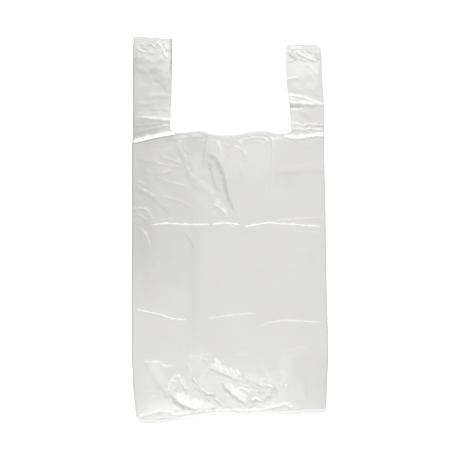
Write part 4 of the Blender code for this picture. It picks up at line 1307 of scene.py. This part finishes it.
def film_grain_group():
    """Shared by the film and its beads: a faint cloud, drawn lines and fine crinkle."""
    name = "film_grain"
    if name in bpy.data.node_groups:
        return bpy.data.node_groups[name]
    group = bpy.data.node_groups.new(name, "ShaderNodeTree")
    socket(group, "Cloud Scale", "NodeSocketFloat", 14.0)
    socket(group, "Line Scale", "NodeSocketFloat", 420.0)
    socket(group, "Crinkle Scale", "NodeSocketFloat", 120.0)
    socket(group, "Cloud", "NodeSocketFloat", output=True)
    socket(group, "Height", "NodeSocketFloat", output=True)
    nodes, links = group.nodes, group.links
    source = nodes.new("NodeGroupInput")
    result = nodes.new("NodeGroupOutput")
    place = nodes.new("ShaderNodeTexCoord")

    cloud = nodes.new("ShaderNodeTexNoise")
    cloud.inputs["Detail"].default_value = 3.0
    cloud.inputs["Roughness"].default_value = 0.55
    links.new(place.outputs["Object"], cloud.inputs["Vector"])
    links.new(source.outputs["Cloud Scale"], cloud.inputs["Scale"])
    links.new(cloud.outputs["Fac"], result.inputs["Cloud"])

    drawn = nodes.new("ShaderNodeMapping")
    drawn.inputs["Scale"].default_value = (1.0, 0.03, 1.0)
    lines = nodes.new("ShaderNodeTexNoise")
    lines.inputs["Detail"].default_value = 2.0
    links.new(place.outputs["Object"], drawn.inputs["Vector"])
    links.new(drawn.outputs["Vector"], lines.inputs["Vector"])
    links.new(source.outputs["Line Scale"], lines.inputs["Scale"])

    crinkle = nodes.new("ShaderNodeTexVoronoi")
    crinkle.feature = "SMOOTH_F1"
    crinkle.inputs["Smoothness"].default_value = 0.35
    links.new(place.outputs["Object"], crinkle.inputs["Vector"])
    links.new(source.outputs["Crinkle Scale"], crinkle.inputs["Scale"])

    weight = nodes.new("ShaderNodeMath")
    weight.operation = "MULTIPLY_ADD"
    weight.inputs[1].default_value = 0.12
    links.new(lines.outputs["Fac"], weight.inputs[0])
    links.new(crinkle.outputs["Distance"], weight.inputs[2])
    links.new(weight.outputs["Value"], result.inputs["Height"])
    return group


def mixed_colour(tree, factor, low, high):
    """A colour mix node. low and high are colours or sockets."""
    node = tree.nodes.new("ShaderNodeMix")
    node.data_type = "RGBA"
    tree.links.new(factor, node.inputs["Factor"])
    for name, value in (("A", low), ("B", high)):
        target = next(s for s in node.inputs if s.name == name and s.type == "RGBA")
        if isinstance(value, bpy.types.NodeSocket):
            tree.links.new(value, target)
        else:
            target.default_value = tuple(value)
    return next(s for s in node.outputs if s.type == "RGBA")


def ranged(tree, value, low, high, to_low, to_high):
    node = tree.nodes.new("ShaderNodeMapRange")
    tree.links.new(value, node.inputs["Value"])
    for name, number in (("From Min", low), ("From Max", high), ("To Min", to_low), ("To Max", to_high)):
        node.inputs[name].default_value = number
    return node.outputs["Result"]


def shaded(colour, share):
    return tuple(channel * share for channel in tuple(colour)[:3]) + (1.0,)


def principled(name):
    """(material, its node tree, its shader) of a new material."""
    material = bpy.data.materials.new(name)
    material.use_nodes = True
    tree = material.node_tree
    return material, tree, tree.nodes["Principled BSDF"]


def grain_node(tree):
    grain = tree.nodes.new("ShaderNodeGroup")
    grain.node_tree = film_grain_group()
    return grain


def mask(tree, name):
    """One of the masks that the film's mesh carries."""
    node = tree.nodes.new("ShaderNodeAttribute")
    node.attribute_name = name
    return node.outputs["Fac"]


def grained(tree, shader, grain, roughness, bump_size):
    """Lets the grain vary the shader's roughness, from low to high, and bump its surface."""
    rough = ranged(tree, grain.outputs["Cloud"], 0.2, 0.8, *roughness)
    tree.links.new(rough, shader.inputs["Roughness"])
    bump = tree.nodes.new("ShaderNodeBump")
    bump.inputs["Strength"].default_value, bump.inputs["Distance"].default_value = bump_size
    tree.links.new(grain.outputs["Height"], bump.inputs["Height"])
    tree.links.new(bump.outputs["Normal"], shader.inputs["Normal"])


def white_film(film):
    """White polythene film: cloudy, softly glossy, whitened along its creases, paler in its welds, with
    painted highlights and painted shade in its colour.
    """
    material, tree, shader = principled("white_film")
    grain = grain_node(tree)
    cloud, crease = mask(tree, "cloud"), mask(tree, "crease")
    dull, bright = [shaded(film.colour, share) for share in FILM_MOTTLE]
    # The cloud mask: painted light whitens above 0; painted shade, and the gusset's fold seen through, grey
    # below 0
    whiter = ranged(tree, cloud, 0.0, MOST_PAINTED_LIGHT_AND_TONE, 0.0, 1.0)
    greyer = ranged(tree, cloud, 0.0, -MOST_PAINTED_LIGHT_AND_TONE, 0.0, PAINTED_SHADE_AND_TONE_GREY)
    # Painted shade beside wrinkles, from the crease mask below 0
    shade = ranged(tree, crease, 0.0, -1.0, 0.0, CREASE_PAINTED_SHADE_GREY)
    # Painted shade along the folds and the handles' top edges, from the fold mask
    painted_fold_shade = ranged(tree, mask(tree, "fold"), 0.0, 1.0, 0.0, FOLD_SHADE_GREY)
    colour = mixed_colour(tree, grain.outputs["Cloud"], dull, bright)
    colour = mixed_colour(tree, whiter, colour, WHITE)
    colour = mixed_colour(tree, greyer, colour, BLACK)
    colour = mixed_colour(tree, mask(tree, "fused"), colour, shaded(film.haze_colour, FUSED_SHADE))
    # Crease whitening and painted highlights, from the crease mask above 0
    colour = mixed_colour(tree, crease, colour, film.haze_colour)
    colour = mixed_colour(tree, shade, colour, BLACK)
    colour = mixed_colour(tree, painted_fold_shade, colour, BLACK)
    tree.links.new(colour, shader.inputs["Base Color"])
    shader.inputs["IOR"].default_value = FILM_IOR
    roughness = (film.roughness - ROUGHNESS_SPREAD, film.roughness + ROUGHNESS_SPREAD)
    grained(tree, shader, grain, roughness, FILM_BUMP)
    return material


def fused_film(seals):
    """The melted bead: a little smoother and paler than the film."""
    material, tree, shader = principled("fused_film")
    grain = grain_node(tree)
    grain.inputs["Cloud Scale"].default_value = 90.0
    grain.inputs["Crinkle Scale"].default_value = 700.0
    dull, bright = [shaded(seals.colour, share) for share in BEAD_MOTTLE]
    colour = mixed_colour(tree, grain.outputs["Cloud"], dull, bright)
    tree.links.new(colour, shader.inputs["Base Color"])
    grained(tree, shader, grain, BEAD_ROUGHNESS, BEAD_BUMP)
    return material


def bead_tree(material):
    """Geometry nodes that sweep a flattened bead along each line of a mesh."""
    tree = bpy.data.node_groups.new("seal_bead", "GeometryNodeTree")
    socket(tree, "Geometry", "NodeSocketGeometry")
    width = socket(tree, "Width", "NodeSocketFloat", 0.0009)
    height = socket(tree, "Height", "NodeSocketFloat", 0.0004)
    sides = socket(tree, "Sides", "NodeSocketInt", 6)
    socket(tree, "Geometry", "NodeSocketGeometry", output=True)
    nodes, links = tree.nodes, tree.links
    source, result = nodes.new("NodeGroupInput"), nodes.new("NodeGroupOutput")
    line = nodes.new("GeometryNodeMeshToCurve")
    ring = nodes.new("GeometryNodeCurvePrimitiveCircle")
    ring.inputs["Radius"].default_value = 0.5
    scale = nodes.new("ShaderNodeCombineXYZ")
    flatten = nodes.new("GeometryNodeTransform")
    sweep = nodes.new("GeometryNodeCurveToMesh")
    sweep.inputs["Fill Caps"].default_value = True
    upright = nodes.new("GeometryNodeSetCurveNormal")
    upright.mode = "Z_UP"
    smooth = nodes.new("GeometryNodeSetShadeSmooth")
    realize = nodes.new("GeometryNodeRealizeInstances")
    finish = nodes.new("GeometryNodeSetMaterial")
    finish.inputs["Material"].default_value = material
    scale.inputs["Z"].default_value = 1.0
    joins = (
        (source, "Geometry", line, "Mesh"), (line, "Curve", upright, "Curve"),
        (upright, "Curve", sweep, "Curve"), (source, "Sides", ring, "Resolution"),
        (source, "Width", scale, "X"), (source, "Height", scale, "Y"),
        (ring, "Curve", flatten, "Geometry"), (scale, "Vector", flatten, "Scale"),
        (flatten, "Geometry", sweep, "Profile Curve"), (sweep, "Mesh", smooth, "Geometry"),
        (smooth, "Geometry", realize, "Geometry"), (realize, "Geometry", finish, "Geometry"),
        (finish, "Geometry", result, "Geometry"),
    )
    for start, leaving, end, entering in joins:
        links.new(start.outputs[leaving], end.inputs[entering])
    return tree, {"width": width.identifier, "height": height.identifier, "sides": sides.identifier}


def seal_lines(film):
    """The three weld lines, lying on the front ply, as a mesh of edges in metres."""
    lie = Lie(film)
    lines = bmesh.new()
    for edge, inward in ((BOTTOM_EDGE, SEAL_WIDTH), (LEFT_TOP, -SEAL_WIDTH), (RIGHT_TOP, -SEAL_WIDTH)):
        route = resampled(edge, BEAD_PITCH) + (0.0, inward)
        route = route[np.abs(route[:, 0]) < lie.side(route) - BEAD_END_GAP]
        height = lie.height("front", route) + BEAD_LIFT
        corners = [lines.verts.new((x * MM, y * MM, z * MM)) for (x, y), z in zip(route, height)]
        for start, end in zip(corners, corners[1:]):
            lines.edges.new((start, end))
    return lines


def linked_object(name, mesh):
    made = bpy.data.objects.new(name, mesh)
    bpy.context.scene.collection.objects.link(made)
    return made


def mesh_from(net, name):
    mesh = bpy.data.meshes.new(name)
    net.to_mesh(mesh)
    net.free()
    return mesh


class CARRIERBAG_OT_film(Operator):
    """Lays out the film of the whole bag"""

    bl_idname = "carrierbag.film"
    bl_label = "Lay the film"

    def execute(self, context):
        film = context.scene.carrierbag_film
        mesh = mesh_from(film_geometry(film), "film")
        if len(mesh.polygons) > MOST_TRIANGLES:
            raise RuntimeError(f"the film has {len(mesh.polygons)} triangles, over {MOST_TRIANGLES}")
        mesh.materials.append(white_film(film))
        mesh.set_sharp_from_angle(angle=math.radians(SHARP_TURN))
        piece = linked_object("film", mesh)
        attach(piece, BODY)
        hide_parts(NODE)
        return {"FINISHED"}


class CARRIERBAG_OT_seals(Operator):
    """Runs a melted bead along each of the three welds"""

    bl_idname = "carrierbag.seals"
    bl_label = "Weld the seals"

    def execute(self, context):
        seals = context.scene.carrierbag_seals
        line = linked_object("seal_line", mesh_from(seal_lines(context.scene.carrierbag_film), "seal_line"))
        tree, names = bead_tree(fused_film(seals))
        sweep = line.modifiers.new("bead", "NODES")
        sweep.node_group = tree
        sweep[names["width"]] = seals.bead_width
        sweep[names["height"]] = seals.bead_height
        evaluated = line.evaluated_get(context.evaluated_depsgraph_get())
        mesh = bpy.data.meshes.new_from_object(evaluated)
        if not mesh.polygons:
            raise RuntimeError("the seal beads came out empty")
        mesh.name = "seal_beads"
        line.modifiers.remove(sweep)
        bpy.data.objects.remove(line)
        piece = linked_object("seal_beads", mesh)
        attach(piece, BODY)
        return {"FINISHED"}


def white_floor(glow):
    """A white floor that keeps the bag's shadow and shows as white to the camera."""
    material, tree, shader = principled("white_floor")
    shader.inputs["Base Color"].default_value = shaded(WHITE, 0.90)
    shader.inputs["Roughness"].default_value = 0.9
    shader.inputs["Specular IOR Level"].default_value = 0.2
    shader.inputs["Emission Color"].default_value = WHITE
    rays = tree.nodes.new("ShaderNodeLightPath")
    seen = tree.nodes.new("ShaderNodeMath")
    seen.operation = "MULTIPLY"
    seen.inputs[1].default_value = glow
    tree.links.new(rays.outputs["Is Camera Ray"], seen.inputs[0])
    tree.links.new(seen.outputs["Value"], shader.inputs["Emission Strength"])
    return material


def room_light(fill):
    """An even pale room that shows as white behind the floor's edge."""
    world = bpy.data.worlds.new("room")
    bpy.context.scene.world = world
    world.use_nodes = True
    tree = world.node_tree
    background = tree.nodes["Background"]
    background.inputs["Color"].default_value = WHITE
    rays = tree.nodes.new("ShaderNodeLightPath")
    strength = tree.nodes.new("ShaderNodeMapRange")
    strength.inputs["To Min"].default_value = fill
    strength.inputs["To Max"].default_value = 1.0
    tree.links.new(rays.outputs["Is Camera Ray"], strength.inputs["Value"])
    tree.links.new(strength.outputs["Result"], background.inputs["Strength"])


def lamp(name, power, size, place):
    """A soft rectangular lamp that faces the bag."""
    light = bpy.data.lights.new(name, "AREA")
    light.shape = "RECTANGLE"
    light.size, light.size_y = size
    light.energy = power
    made = linked_object(name, light)
    made.location = place
    made.rotation_euler = (-Vector(place)).to_track_quat("-Z", "Y").to_euler()


class CARRIERBAG_OT_studio(Operator):
    """Sets the white floor, the soft lamps and the camera"""

    bl_idname = "carrierbag.studio"
    bl_label = "Set the stage"

    def execute(self, context):
        studio = context.scene.carrierbag_studio
        plane = bmesh.new()
        bmesh.ops.create_grid(plane, x_segments=1, y_segments=1, size=FLOOR_HALF)
        floor = linked_object("floor", mesh_from(plane, "floor"))
        floor.data.materials.append(white_floor(studio.floor))
        room_light(studio.fill)
        lamp("key", studio.key, *KEY_LAMP)
        lamp("low_lamp", studio.key * studio.low_share, *LOW_LAMP)
        camera = bpy.data.cameras.new("camera")
        camera.sensor_width = SENSOR_WIDTH
        camera.lens = camera.sensor_width * studio.camera_height / studio.picture_width
        seat = linked_object("camera", camera)
        seat.location = (0.0, 0.0, studio.camera_height)
        context.scene.camera = seat
        context.scene.view_settings.view_transform = "Standard"
        return {"FINISHED"}


class CARRIERBAG_PT_panel(Panel):
    """Lists the bag's steps and settings"""

    bl_idname = "CARRIERBAG_PT_panel"
    bl_label = "Carrier bag"
    bl_space_type = "VIEW_3D"
    bl_region_type = "UI"
    bl_category = "Carrier bag"

    def draw(self, context):
        scene = context.scene
        steps = (
            ("carrierbag.film", scene.carrierbag_film),
            ("carrierbag.seals", scene.carrierbag_seals),
            ("carrierbag.studio", scene.carrierbag_studio),
        )
        for step, settings in steps:
            box = self.layout.box()
            box.operator(step)
            for name in settings.__annotations__:
                box.prop(settings, name)


CLASSES = (
    CarrierBagFilm, CarrierBagSeals, CarrierBagStudio,
    CARRIERBAG_OT_film, CARRIERBAG_OT_seals, CARRIERBAG_OT_studio, CARRIERBAG_PT_panel,
)


def register():
    for kind in CLASSES:
        bpy.utils.register_class(kind)
    bpy.types.Scene.carrierbag_film = PointerProperty(type=CarrierBagFilm)
    bpy.types.Scene.carrierbag_seals = PointerProperty(type=CarrierBagSeals)
    bpy.types.Scene.carrierbag_studio = PointerProperty(type=CarrierBagStudio)


def unregister():
    del bpy.types.Scene.carrierbag_studio
    del bpy.types.Scene.carrierbag_seals
    del bpy.types.Scene.carrierbag_film
    for kind in reversed(CLASSES):
        bpy.utils.unregister_class(kind)


def main():
    register()
    bpy.ops.carrierbag.film()
    bpy.ops.carrierbag.seals()
    bpy.ops.carrierbag.studio()


if __name__ == "__main__":
    main()
